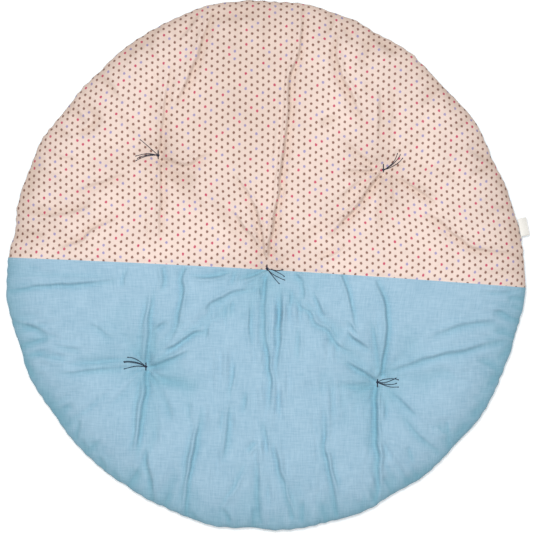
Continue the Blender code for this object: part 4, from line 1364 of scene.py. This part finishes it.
@dataclass(frozen=True)
class DottedCotton:
    """Cream cotton printed with a staggered lattice of small brown dots, some red and some lilac."""

    name: str = "dotted_cotton"
    ground: Colour = rgb(239, 217, 206)
    brown: Colour = rgb(138, 97, 85)
    red: Colour = rgb(204, 72, 104)
    lilac: Colour = rgb(160, 150, 194)
    column_gap: float = 0.0107
    dot_gap: float = 0.01392
    dot_radius: float = 0.0027
    dot_edge: float = 0.0017
    dot_slimness: float = 1.14
    block: int = 3
    repeat_blocks: int = 7
    lilac_step: float = 5.0
    lattice_start: float = 40.0
    second_pick: float = 8.0
    second_seed: float = 3.0
    nudge: Swing = Swing(0.0010, -0.0005)
    ragged_edge: Swing = Swing(0.0022, -0.0011)
    ragged_noise: Noise = Noise(420.0, 1.0)
    ink: Swing = Swing(0.5, 0.70)
    ink_noise: Noise = Noise(300.0, 2.0)
    cloud: Swing = Swing(0.20, 0.90)
    cloud_noise: Noise = Noise(11.0, 3.0)
    slub: Swing = Swing(0.14, 0.86)
    slub_noise: Noise = Noise(900.0, 1.0)
    slub_stretch: float = 0.06
    weave_share: float = 0.5
    relief: Relief = Relief(0.00025, 0.35)
    finish: Finish = Finish(0.82, 0.12, 0.25)
    # Painted shade: the colour that the cloth is darkened towards in its folds and hollows
    painted_shade_tint: Colour = (0.68, 0.64, 0.58, 1.0)
    weave: PlainWeave = PlainWeave()

    def lattice(
        self,
        graph: NodeGraph,
        x: object,
        y: object,
        half: float,
        seed: float,
    ) -> tuple[object, object]:
        """One of the two interleaved lattices of dots.

        Args:
            graph: The material that it is made in.
            x: Flat-cut X output.
            y: Flat-cut Y output.
            half: 0 for one lattice, 0.5 for the other.
            seed: Keeps the two lattices' random numbers apart.

        Returns:
            The distance to the nearest dot's middle, and the dot's place in its block of nine, counted
            from a place picked at random in each block.
        """
        start = half + self.lattice_start
        column = graph.math("MULTIPLY_ADD", x, 0.5 / self.column_gap, start)
        row = graph.math("MULTIPLY_ADD", y, 1.0 / self.dot_gap, start)
        column_number = graph.math("FLOOR", column)
        row_number = graph.math("FLOOR", row)
        blocks = []
        inside = []
        for number in (column_number, row_number):
            block = graph.math("FLOOR", graph.math("DIVIDE", number, float(self.block)))
            blocks.append(graph.math("FLOORED_MODULO", block, float(self.repeat_blocks)))
            inside.append(graph.math("FLOORED_MODULO", number, float(self.block)))
        dots = float(self.block**2)
        pick = graph.math("FLOOR", graph.times(graph.random(graph.vector(*blocks)), dots))
        number = graph.math("MULTIPLY_ADD", inside[1], float(self.block), inside[0])
        past = graph.math("SUBTRACT", graph.plus(number, dots + self.second_pick * half), pick)
        rank = graph.math("FLOORED_MODULO", past, dots)
        nudge = graph.random(graph.vector(column_number, row_number, seed))
        other_nudge = graph.random(graph.vector(column_number, row_number, seed + self.second_seed))
        off_x = graph.math("SUBTRACT", graph.math("FRACT", column), 0.5)
        off_y = graph.math("SUBTRACT", graph.math("FRACT", row), 0.5)
        off_x = graph.times(off_x, 2.0 * self.column_gap)
        off_y = graph.times(off_y, self.dot_gap)
        off_x = graph.plus(off_x, graph.swung(nudge, self.nudge))
        off_y = graph.plus(off_y, graph.swung(other_nudge, self.nudge))
        off_x = graph.times(off_x, self.dot_slimness)
        squared = graph.plus(graph.times(off_x, off_x), graph.times(off_y, off_y))
        return graph.math("SQRT", squared), rank

    def build(self) -> Material:
        """The finished material."""
        graph = NodeGraph(self.name)
        place, x, y = graph.uv()
        first, first_rank = self.lattice(graph, x, y, 0.0, 1.0)
        second, second_rank = self.lattice(graph, x, y, 0.5, 2.0)
        nearer = graph.math("LESS_THAN", second, first)
        distance = graph.math("MINIMUM", first, second)
        kept = graph.times(first_rank, graph.math("SUBTRACT", 1.0, nearer))
        rank = graph.math("MULTIPLY_ADD", second_rank, nearer, kept)
        ragged = graph.swung(graph.noise(place, self.ragged_noise), self.ragged_edge)
        outer = self.dot_radius + 0.5 * self.dot_edge
        inner = self.dot_radius - 0.5 * self.dot_edge
        inked = graph.ramp(graph.plus(distance, ragged), outer, inner)
        is_red = graph.math("COMPARE", rank, 0.0, 0.5)
        is_lilac = graph.math("COMPARE", rank, self.lilac_step, 0.5)
        dot = graph.mix(is_red, self.brown, self.red)
        dot = graph.mix(is_lilac, dot, self.lilac)
        ink = graph.times(inked, graph.swung(graph.noise(place, self.ink_noise), self.ink))
        cloud = graph.swung(graph.noise(place, self.cloud_noise), self.cloud)
        slub_x, slub_y = graph.slubs(x, y, self.slub_stretch, self.slub_noise)
        slub = graph.swung(graph.plus(slub_x, slub_y), self.slub)
        shade = graph.times(cloud, slub)
        ground = graph.mix(1.0, self.ground, graph.vector(shade, shade, shade), "MULTIPLY")
        colour = graph.mix(graph.math("MINIMUM", ink, 1.0), ground, dot)
        weave = self.weave.height(graph, x, y)
        threads = graph.times(weave, self.weave_share)
        height = graph.plus(threads, graph.times(slub, 1.0 - self.weave_share))
        graph.bump_normal(height, self.relief)
        graph.surface(graph.painted_fold_shade(colour, self.painted_shade_tint), self.finish)
        return graph.material


@dataclass(frozen=True)
class BlueChambray:
    """Light blue chambray: blue and white threads that show as faint slubs both ways."""

    name: str = "blue_chambray"
    deep: Colour = rgb(128, 169, 192)
    pale: Colour = rgb(182, 212, 231)
    slub_stretch: float = 0.09
    slub_noise: Noise = Noise(420.0, 2.0, 0.6)
    slub_share: float = 0.75
    fine_noise: Noise = Noise(1300.0, 1.0)
    cloud_noise: Noise = Noise(16.0, 3.0)
    soft_share: float = 0.35
    pale_from: float = 0.55
    pale_to: float = 1.65
    weave_share: float = 0.5
    relief: Relief = Relief(0.00030, 0.40)
    finish: Finish = Finish(0.86, 0.15, 0.22)
    # Painted shade: the colour that the cloth is darkened towards in its folds and hollows
    painted_shade_tint: Colour = (0.44, 0.73, 0.73, 1.0)
    weave: PlainWeave = PlainWeave(pitch=0.0006)

    def build(self) -> Material:
        """The finished material."""
        graph = NodeGraph(self.name)
        place, x, y = graph.uv()
        across, up = graph.slubs(x, y, self.slub_stretch, self.slub_noise)
        fine = graph.noise(place, self.fine_noise)
        cloud = graph.noise(place, self.cloud_noise)
        blend = graph.times(across, self.slub_share)
        for noise, share in ((up, self.slub_share), (fine, self.soft_share), (cloud, self.soft_share)):
            blend = graph.plus(blend, graph.times(noise, share))
        pale = graph.ramp(blend, self.pale_from, self.pale_to, smooth=False)
        colour = graph.mix(pale, self.deep, self.pale)
        weave = self.weave.height(graph, x, y)
        threads = graph.times(weave, self.weave_share)
        height = graph.plus(threads, graph.times(pale, 1.0 - self.weave_share))
        graph.bump_normal(height, self.relief)
        graph.surface(graph.painted_fold_shade(colour, self.painted_shade_tint), self.finish)
        return graph.material


@dataclass(frozen=True)
class NavyThread:
    """Dark navy tufting thread, a little fuzzy."""

    name: str = "navy_thread"
    deep: Colour = rgb(8, 22, 44)
    worn: Colour = rgb(28, 48, 78)
    fuzz_noise: Noise = Noise(900.0, 3.0, 0.6)
    worn_from: float = 0.35
    worn_to: float = 0.75
    relief_noise: Noise = Noise(2600.0, 1.0)
    relief: Relief = Relief(0.0002, 0.5)
    finish: Finish = Finish(0.72, 0.3, 0.3)

    def build(self) -> Material:
        """The finished material."""
        graph = NodeGraph(self.name)
        coordinates = graph.nodes.new("ShaderNodeTexCoord").outputs["Object"]
        fuzz = graph.noise(coordinates, self.fuzz_noise)
        colour = graph.mix(graph.ramp(fuzz, self.worn_from, self.worn_to), self.deep, self.worn)
        graph.bump_normal(graph.noise(coordinates, self.relief_noise), self.relief)
        graph.surface(colour, self.finish)
        return graph.material


@dataclass(frozen=True)
class LabelTape:
    """Pale woven tape with fine ribs."""

    name: str = "label_tape"
    pale: Colour = rgb(253, 252, 247)
    shade: Colour = rgb(240, 236, 227)
    rib: float = 0.0006
    rib_shade: float = 0.2
    grain_noise: Noise = Noise(700.0, 2.0)
    pale_from: float = 0.3
    pale_to: float = 0.9
    relief: Relief = Relief(0.0002, 0.5)
    finish: Finish = Finish(0.6, 0.2, 0.4)

    def build(self) -> Material:
        """The finished material."""
        graph = NodeGraph(self.name)
        place, x, y = graph.uv()
        wave = graph.math("SINE", graph.times(y, TURN / self.rib))
        ribs = graph.math("MULTIPLY_ADD", wave, 0.5, 0.5)
        grain = graph.noise(place, self.grain_noise)
        blend = graph.plus(grain, graph.times(ribs, self.rib_shade))
        colour = graph.mix(graph.ramp(blend, self.pale_from, self.pale_to), self.shade, self.pale)
        graph.bump_normal(ribs, self.relief)
        graph.surface(colour, self.finish)
        return graph.material


@dataclass(frozen=True)
class PaleFloor:
    """A plain pale studio floor, lit a little from below as a light table is."""

    name: str = "pale_floor"
    glow: float = 0.18
    finish: Finish = Finish(0.9, 0.0, 0.1)
    colour: Colour = (0.93, 0.93, 0.93, 1.0)

    def build(self) -> Material:
        """The finished material."""
        graph = NodeGraph(self.name)
        graph.surface(self.colour, self.finish)
        graph.shader.inputs["Emission Color"].default_value = WHITE
        graph.shader.inputs["Emission Strength"].default_value = self.glow
        return graph.material


def add_mesh(
    name: str,
    points: Array,
    faces: Sequence[Sequence[int]],
    material: Material,
) -> Piece:
    """A smooth-shaded mesh object in the scene.

    Args:
        name: The piece's name.
        points: Its corners in metres.
        faces: Its faces, each a row of corner numbers.
        material: Its finish.

    Returns:
        The new object.
    """
    mesh = bpy.data.meshes.new(name)
    mesh.from_pydata(points.tolist(), [], faces)
    mesh.shade_smooth()
    mesh.materials.append(material)
    obj = bpy.data.objects.new(name, mesh)
    bpy.context.scene.collection.objects.link(obj)
    return obj


def add_flat_map(obj: Piece, flat: Array) -> None:
    """Gives a mesh its flat-cut places, one for each corner point."""
    mesh = obj.data
    corners = np.empty(len(mesh.loops), dtype=np.int64)
    mesh.loops.foreach_get("vertex_index", corners)
    layer = mesh.uv_layers.new(name="flat_cut")
    layer.data.foreach_set("uv", flat[corners].astype(np.float32).ravel())


@dataclass
class Cover:
    """The sewn cover: a dotted and a blue half on the front, and a whole blue back."""

    form: CushionForm
    shift: Array
    fill: float = 0.55
    edge_points: int = 1536
    back_spacing: float = 0.012
    ring_spacing: float = 0.0054
    roll_step: float = 0.0006
    roll_rings: int = 7
    ring_growth: float = 0.2
    back_rim_shares: tuple[float, ...] = (1.0, 0.9985, 0.996, 0.992, 0.987, 0.981, 0.974)
    front_halves: tuple[float, ...] = (0.66, 0.33, 0.16, 0.08, 0.04, 0.02)
    back_halves: tuple[float, ...] = (0.997, 0.983, 0.45, 0.2, 0.1, 0.05)

    def front_shares(self) -> list[float]:
        """Rings of the front, close together on the edge's roll and even further in."""
        shares = [1.0 - self.roll_step * index**2 for index in range(self.roll_rings)]
        share = shares[-1]
        step = shares[-2] - shares[-1]
        while share > 2.0 * self.ring_spacing:
            step += self.ring_growth * (self.ring_spacing - step)
            share -= step
            shares.append(share)
        return shares

    def back_shares(self) -> list[float]:
        """Rings of the back, close together at the edge and wide where it lies flat."""
        shares = list(self.back_rim_shares)
        share = shares[-1]
        while share > 2.0 * self.back_spacing:
            share -= self.back_spacing
            shares.append(share)
        return shares

    def back_edge(self, share: Array) -> Array:
        """Height of the back's rounded edge in metres, at shares of the way out."""
        return self.form.seam_rise * self.form.back_roll(share)

    def build(self) -> list[Piece]:
        """Builds and dresses the three panels.

        Returns:
            The dotted half, the blue half and the back.
        """
        front = RingNet(self.form, self.edge_points, self.front_shares(), self.front_halves)
        height, hollow = self.form.front_surface(front.plan)
        count = self.edge_points
        angles = np.arctan2(front.plan[:count, 1], front.plan[:count, 0])
        height[:count] = self.form.seam_height(angles)
        cut = FlatCut(self.form)
        flat = cut.places(front.plan)
        points = np.column_stack([front.plan + self.shift, height])
        dotted_cotton = DottedCotton().build()
        chambray = BlueChambray().build()
        faces = front.faces()
        dotted_faces = [face for side, face in faces if side is Side.DOTTED]
        blue_faces = [face for side, face in faces if side is Side.BLUE]
        dotted = self.panel("cover_dotted_half", points, dotted_faces, flat, hollow, dotted_cotton)
        blue = self.panel("cover_blue_half", points, blue_faces, flat, hollow, chambray)

        back = RingNet(self.form, self.edge_points, self.back_shares(), self.back_halves)
        back_z = self.form.back_height(back.plan)
        back_z[:count] = height[:count]
        back_points = np.column_stack([back.plan + self.shift, back_z])
        back_faces = [tuple(reversed(face)) for _, face in back.faces()]
        # Painted shade of the back towards the edge seam
        back_painted_shade = self.form.rim_shade(self.form.polar(back.plan)[1])
        back_flat = back.plan + cut.rolled_out(back.plan, self.back_edge)
        under = self.panel("cover_back", back_points, back_faces, back_flat, back_painted_shade, chambray)
        panels = [dotted, blue, under]
        for panel in panels:
            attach(panel, "root")
            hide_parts("cushion")
        return panels

    @staticmethod
    def panel(
        name: str,
        points: Array,
        faces: list[tuple[int, ...]],
        flat: Array,
        hollow: Array,
        material: Material,
    ) -> Piece:
        """One panel, with only the points that its faces use.

        Args:
            name: The piece's name.
            points: Corners of the whole net in metres.
            faces: The panel's faces, as numbers of those corners.
            flat: Flat-cut place of each corner.
            hollow: The painted shade of each corner, as a hollow depth in metres.
            material: The panel's cloth.

        Returns:
            The panel's object.
        """
        used = np.unique(np.array([corner for face in faces for corner in face]))
        place = np.full(len(points), -1)
        place[used] = np.arange(len(used))
        renumbered = [tuple(int(place[corner]) for corner in face) for face in faces]
        obj = add_mesh(name, points[used], renumbered, material)
        add_flat_map(obj, flat[used])
        # Painted shade: how far each corner's cloth colour is darkened in hollows, folds, round the ties and
        # towards the edge seam
        depth = obj.data.attributes.new(PAINTED_SHADE_ATTRIBUTE, "FLOAT", "POINT")
        depth.data.foreach_set("value", (1.0 - np.exp(-hollow[used] / PAINTED_SHADE_FULL_HOLLOW)).astype(np.float32))
        return obj


@dataclass
class Surface:
    """Finds the height of the cover's front or back over a plan point."""

    panels: Sequence[Piece]

    def __post_init__(self) -> None:
        """Gathers the panels' faces into one search tree."""
        points: list[tuple[float, float, float]] = []
        faces: list[tuple[int, ...]] = []
        for panel in self.panels:
            start = len(points)
            points += [vertex.co[:] for vertex in panel.data.vertices]
            faces += [tuple(start + corner for corner in face.vertices) for face in panel.data.polygons]
        self.tree = BVHTree.FromPolygons(points, faces)

    def top(self, x: float, y: float, room: float = 0.0008) -> float:
        """Highest point of the front within a little room of a place."""
        found = []
        for dx, dy in ((0, 0), (room, 0), (-room, 0), (0, room), (0, -room)):
            hit = self.tree.ray_cast(Vector((x + dx, y + dy, 1.0)), Vector((0, 0, -1)))
            found.append(hit[0].z)
        return max(found)

    def underside(self, x: float, y: float) -> float:
        """Height of the back over a place."""
        return self.tree.ray_cast(Vector((x, y, -1.0)), Vector((0, 0, 1)))[0].z


@dataclass
class ThreadTie:
    """A tufting tie: stitch, knot and free ends of twisted thread, with its stitch at the back.

    Sizes are in metres. Only strand_apart, stitch_overrun, wobble and back_reach are in millimetres, as
    the tables are.
    """

    tie: Tie
    shift: Array
    surface: Surface
    thread: Material
    radius: float = 0.00070
    ply_thin: float = 0.70
    ply_swell: float = 0.34
    ply_pitch: float = 0.0030
    sides: int = 10
    point_gap: float = 0.0006
    knot_radius: float = 0.0025
    end_knot: float = 0.0020
    lift: float = 0.0013
    lift_growth: float = 0.55
    arch_start: float = 0.12
    smoothing: int = 6
    level_enough: float = 0.05
    end_swell: float = 0.7
    end_reach: float = 1.6
    end_closing: float = 2.5
    end_least: float = 0.35
    strand_apart: float = 0.55
    strand_bow: float = 0.4
    stitch_overrun: float = 0.6
    stitch_dive: float = 0.0022
    stitch_lift: float = 0.0006
    stitch_sink: float = 0.0014
    sink_sharpness: int = 6
    stitch_places: int = 9
    knot_places: int = 49
    knot_width: float = 1.15
    knot_height: float = 0.85
    knot_lift: float = 0.0021
    tail_steps: int = 24
    wobble: float = 0.5
    wobble_pace: float = 9.0
    wobble_turn: float = 2.1
    leave_share: float = 0.12
    back_reach: float = 5.0
    back_sink: float = 0.0016

    def __post_init__(self) -> None:
        """Starts with no points."""
        self.points: list[Array] = []
        self.faces: list[tuple[int, ...]] = []
        self.total = 0

    def smooth_path(self, places: Array) -> Array:
        """A smooth curve through the places, with a point at every gap."""
        spread = np.concatenate([[0.0], np.cumsum(np.linalg.norm(np.diff(places, axis=0), axis=1))])
        count = max(3, int(spread[-1] / self.point_gap))
        at = np.linspace(0.0, spread[-1], count + 1)
        path = np.column_stack([np.interp(at, spread, places[:, axis]) for axis in range(3)])
        for _ in range(self.smoothing):
            path[1:-1] = 0.25 * path[:-2] + 0.5 * path[1:-1] + 0.25 * path[2:]
        return path

    def add_thread(self, places: Array, knotted: bool = False) -> None:
        """Adds a two-ply thread along the places.

        Args:
            places: Points that the thread follows, in metres.
            knotted: Whether its far end swells a little and closes, as a knotted end does.
        """
        path = self.smooth_path(places)
        heading = np.gradient(path, axis=0)
        heading /= np.linalg.norm(heading, axis=1)[:, None]
        side = np.cross(heading, np.array([0.0, 0.0, 1.0]))
        weak = np.linalg.norm(side, axis=1) < self.level_enough
        side[weak] = np.array([1.0, 0.0, 0.0])
        side /= np.linalg.norm(side, axis=1)[:, None]
        up = np.cross(side, heading)
        turn = np.arange(self.sides) * (TURN / self.sides)
        along = np.arange(len(path)) * self.point_gap
        twist = along * (TURN / self.ply_pitch)
        plies = np.abs(np.cos(turn[None, :] - twist[:, None]))
        ring = self.radius * (self.ply_thin + self.ply_swell * plies)
        if knotted:
            left = (along[-1] - along) / self.end_knot
            swelling = 1.0 + self.end_swell * np.clip(self.end_reach - left, 0.0, 1.0)
            ring *= (swelling * np.clip(self.end_closing * left, self.end_least, 1.0))[:, None]
        across = side[:, None, :] * (ring * np.cos(turn))[:, :, None]
        upward = up[:, None, :] * (ring * np.sin(turn))[:, :, None]
        corners = path[:, None, :] + across + upward
        start = self.total
        count = self.sides
        self.points.append(corners.reshape(-1, 3))
        for row in range(len(path) - 1):
            for index in range(count):
                after = (index + 1) % count
                low = start + row * count
                self.faces.append((low + index, low + after, low + count + after, low + count + index))
        self.faces.append(tuple(start + index for index in reversed(range(count))))
        last = start + (len(path) - 1) * count
        self.faces.append(tuple(last + index for index in range(count)))
        self.total += len(path) * count

    def place(self, x: float, y: float, lift: float) -> Array:
        """A point above the front, for a plan place in millimetres from the cushion's middle."""
        at = np.array([x, y]) * MM + self.shift
        return np.array([at[0], at[1], self.surface.top(at[0], at[1]) + lift])

    def add_stitch(self) -> None:
        """Adds the two threads of the stitch, which dive into the cloth at both of its ends."""
        tie = self.tie
        top = tie.y + tie.stitch_up + self.stitch_overrun
        bottom = tie.y - tie.stitch_down - self.stitch_overrun
        for offset in (-self.strand_apart, self.strand_apart):
            places = [self.place(tie.x + 0.5 * offset, top, -self.stitch_dive)]
            for share in np.linspace(1.0, -1.0, self.stitch_places):
                reach = tie.stitch_up if share > 0 else tie.stitch_down
                spread = offset * (1.0 - self.strand_bow * abs(share))
                height = self.stitch_lift - self.stitch_sink * abs(share) ** self.sink_sharpness
                places.append(self.place(tie.x + spread, tie.y + share * reach, height))
            places.append(self.place(tie.x + 0.5 * offset, bottom, -self.stitch_dive))
            self.add_thread(np.array(places))

    def add_knot(self, height: float) -> None:
        """Adds the knot, an overhand knot pulled tight over the stitch."""
        turn = np.linspace(0.0, TURN, self.knot_places)
        x = np.sin(turn) + 2.0 * np.sin(2.0 * turn)
        y = np.cos(turn) - 2.0 * np.cos(2.0 * turn)
        z = -np.sin(3.0 * turn)
        size = self.knot_radius / 3.0
        middle = np.array([self.tie.x * MM + self.shift[0], self.tie.y * MM + self.shift[1], height])
        shape = np.column_stack([self.knot_width * size * x, size * y, self.knot_height * self.radius * z])
        self.add_thread(middle + shape)

    def add_tail(self, index: int, tail: Tail, knot_height: float) -> None:
        """Adds a free end: out of the knot, over a low arch, and down to lie on the cloth."""
        bow = Bow(0, 0, tail.mid_x, tail.mid_y, tail.end_x, tail.end_y)
        lift = self.lift * (1.0 + self.lift_growth * index)
        shares = np.linspace(0.0, 1.0, self.tail_steps + 1)
        places = []
        for share, offset in zip(shares, bow_curve(bow, self.tail_steps) / MM):
            arch = math.sin(math.pi * min(share + self.arch_start, 1.0))
            wobble = self.wobble * math.sin(self.wobble_pace * share + self.wobble_turn * index) * share
            x = self.tie.x + offset[0]
            y = self.tie.y + offset[1] + wobble
            spot = self.place(x, y, self.radius + lift * arch)
            blend = min(1.0, share / self.leave_share)
            spot[2] = (1.0 - blend) * knot_height + blend * spot[2]
            places.append(spot)
        self.add_thread(np.array(places), knotted=True)

    def add_back_stitch(self) -> None:
        """Adds the stitch that shows in the hollow of the back."""
        places = []
        for share in np.linspace(-1.0, 1.0, self.stitch_places):
            at = np.array([self.tie.x, self.tie.y + self.back_reach * share]) * MM + self.shift
            sink = self.back_sink * abs(share) ** self.sink_sharpness
            height = self.surface.underside(at[0], at[1]) - 0.5 * self.radius + sink
            places.append(np.array([at[0], at[1], height]))
        self.add_thread(np.array(places))

    def build(self) -> Piece:
        """Builds and dresses the tie.

        Returns:
            The finished piece.
        """
        height = self.place(self.tie.x, self.tie.y, self.knot_lift)[2]
        self.add_stitch()
        self.add_knot(height)
        for index, tail in enumerate(row for row in TAILS if row.tie == self.tie.name):
            self.add_tail(index, tail, height)
        self.add_back_stitch()
        name = self.tie.name.replace("tie_", "thread_tie_")
        obj = add_mesh(name, np.concatenate(self.points), self.faces, self.thread)
        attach(obj, "root")
        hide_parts(self.tie.name)
        return obj


@dataclass
class SideLabel:
    """A bare folded tape whose cut ends are caught in the edge seam."""

    form: CushionForm
    shift: Array
    angle: float = math.radians(8.6)
    turn: float = math.radians(11.0)
    length: float = 0.034
    reach: float = 0.016
    tape: float = 0.0005
    fold_radius: float = 0.00055
    droop: float = 0.005
    gap: float = 0.0006
    wave: float = 0.0006
    steps: int = 24
    edge_span: float = 0.045
    edge_places: int = 13
    edge_room: float = 0.002
    strip_places: int = 15
    bend_places: int = 9

    def section(self) -> tuple[Array, Array]:
        """The tape's middle line from the lower cut end round the fold to the upper one."""
        out = np.linspace(0.0, 1.0, self.strip_places)
        lower = np.column_stack([self.reach * out, -self.droop * out**2 - self.fold_radius])
        upper = np.column_stack([self.reach * out, -self.droop * out**2 + self.fold_radius])
        bend = np.linspace(-0.5 * math.pi, 0.5 * math.pi, self.bend_places)[1:-1]
        nose = unit_steps(bend) * self.fold_radius
        nose += np.array([self.reach, -self.droop])
        line = np.concatenate([lower, nose, upper[::-1]])
        heading = np.gradient(line, axis=0)
        heading /= np.linalg.norm(heading, axis=1)[:, None]
        normal = np.column_stack([heading[:, 1], -heading[:, 0]])
        return line, normal

    def build(self, tape: Material) -> Piece:
        """Builds and dresses the label.

        Args:
            tape: Its finish.

        Returns:
            The finished piece.
        """
        line, normal = self.section()
        around = np.concatenate([line + 0.5 * self.tape * normal, (line - 0.5 * self.tape * normal)[::-1]])
        spread = np.concatenate([[0.0], np.cumsum(np.linalg.norm(np.diff(line, axis=0), axis=1))])
        run = np.concatenate([spread, spread[::-1]])
        outward = np.array([math.cos(self.turn), math.sin(self.turn)])
        along = np.array([-outward[1], outward[0]])
        place = self.root(outward, along)
        points = []
        flat = []
        for step in range(self.steps + 1):
            share = step / self.steps
            far = (share - 0.5) * self.length
            wave = self.wave * math.sin(TURN * share)
            plan = place + around[:, :1] * outward + far * along + self.shift
            rise = self.form.seam_rise + around[:, 1] + wave * around[:, 0] / self.reach
            points.append(np.column_stack([plan, rise]))
            flat.append(np.column_stack([np.full(len(run), far), run]))
        count = len(around)
        faces = []
        for row in range(self.steps):
            for index in range(count):
                after = (index + 1) % count
                low = row * count
                faces.append((low + index, low + count + index, low + count + after, low + after))
        faces += self.end_faces(0, count, False) + self.end_faces(self.steps * count, count, True)
        obj = add_mesh("side_label", np.concatenate(points), faces, tape)
        add_flat_map(obj, np.concatenate(flat))
        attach(obj, "root")
        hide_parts("label")
        return obj

    @staticmethod
    def end_faces(start: int, count: int, turned: bool) -> list[tuple[int, ...]]:
        """Closes one end of the tape with a strip of faces across its thickness."""
        found = []
        for index in range(count // 2 - 1):
            face = (start + index, start + index + 1, start + count - 2 - index, start + count - 1 - index)
            found.append(tuple(reversed(face)) if turned else face)
        return found

    def root(self, outward: Array, along: Array) -> Array:
        """Plan place of the label's root, just clear of the edge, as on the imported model."""
        angles = self.angle + np.linspace(-self.edge_span, self.edge_span, self.edge_places)
        edge = self.form.rim_radius(angles)[:, None] * unit_steps(angles)
        radius = float(self.form.rim_radius(self.angle))
        middle = radius * np.array([math.cos(self.angle), math.sin(self.angle)])
        beside = np.abs((edge - middle) @ along) <= 0.5 * self.length + self.edge_room
        out = float(((edge - middle) @ outward)[beside].max()) + self.gap
        return middle + out * outward


class Lamp(NamedTuple):
    """A square soft light: its name, its place and size in metres, and its power in watts."""

    name: str
    place: tuple[float, float, float]
    size: float
    power: float


@dataclass
class Studio:
    """Pale floor, soft light and a camera that looks straight down on the cushion's face."""

    shift: Array
    lens: float = 135.0
    sensor: float = 36.0
    view_width: float = 1.0036
    view_centre: tuple[float, float] = (0.0, -0.94 * MM)
    rim_height: float = 0.024
    far_clip: float = 100.0
    floor_size: float = 14.0
    floor_drop: float = 0.0003
    world_strength: float = 0.04
    lamps: tuple[Lamp, ...] = (
        Lamp("key_light", (-0.3, 0.6, 3.6), 0.7, 42.0),
        Lamp("top_light", (0.0, 0.1, 3.6), 1.5, 98.0),
    )

    def build(self) -> None:
        """Builds the floor, the light and the camera."""
        self.add_floor()
        self.add_world()
        for lamp in self.lamps:
            self.add_light(lamp)
        self.add_camera()

    def add_floor(self) -> None:
        """Adds the floor, just under the cushion."""
        half = 0.5 * self.floor_size
        corners = np.array([[-half, -half, 0.0], [half, -half, 0.0], [half, half, 0.0], [-half, half, 0.0]])
        corners[:, 2] -= self.floor_drop
        floor = add_mesh("studio_floor", corners, [(0, 1, 2, 3)], PaleFloor().build())

    def add_world(self) -> None:
        """Adds even white light from all round."""
        world = bpy.data.worlds.new("studio_world")
        world.use_nodes = True
        background = world.node_tree.nodes["Background"]
        background.inputs["Color"].default_value = WHITE
        background.inputs["Strength"].default_value = self.world_strength
        bpy.context.scene.world = world
        bpy.context.scene.view_settings.view_transform = "Standard"

    @staticmethod
    def add_light(lamp: Lamp) -> None:
        """Adds a light that looks at the cushion."""
        data = bpy.data.lights.new(lamp.name, "AREA")
        data.size = lamp.size
        data.energy = lamp.power
        light = bpy.data.objects.new(lamp.name, data)
        light.location = lamp.place
        light.rotation_euler = (-Vector(lamp.place)).to_track_quat("-Z", "Y").to_euler()
        bpy.context.scene.collection.objects.link(light)

    def add_camera(self) -> None:
        """Adds the camera, so far up that the edge seam has the photo's scale."""
        data = bpy.data.cameras.new("studio_camera")
        data.lens = self.lens
        data.sensor_width = self.sensor
        data.clip_end = self.far_clip
        camera = bpy.data.objects.new("studio_camera", data)
        height = self.view_width * self.lens / self.sensor + self.rim_height
        camera.location = (self.view_centre[0] + self.shift[0], self.view_centre[1] + self.shift[1], height)
        bpy.context.scene.collection.objects.link(camera)
        bpy.context.scene.camera = camera


def report(piece: Piece) -> None:
    """Logs a finished piece."""
    LOG.info("%s: %d faces", piece.name, len(piece.data.polygons))


def main() -> None:
    """Builds every piece in order and reports each."""
    logging.basicConfig(level=logging.INFO, format="%(message)s")
    form = CushionForm()
    form.swell = SimulatedSwell(form).run()
    shift = form.shift_onto("cushion")
    LOG.info("plan shift onto the packed model: %.4f %.4f", *shift)
    panels = Cover(form, shift).build()
    for panel in panels:
        report(panel)
    surface = Surface(panels)
    thread = NavyThread().build()
    for tie in TIES:
        report(ThreadTie(tie, shift, surface, thread).build())
    report(SideLabel(form, shift).build(LabelTape().build()))
    Studio(shift).build()


if __name__ == "__main__":
    main()
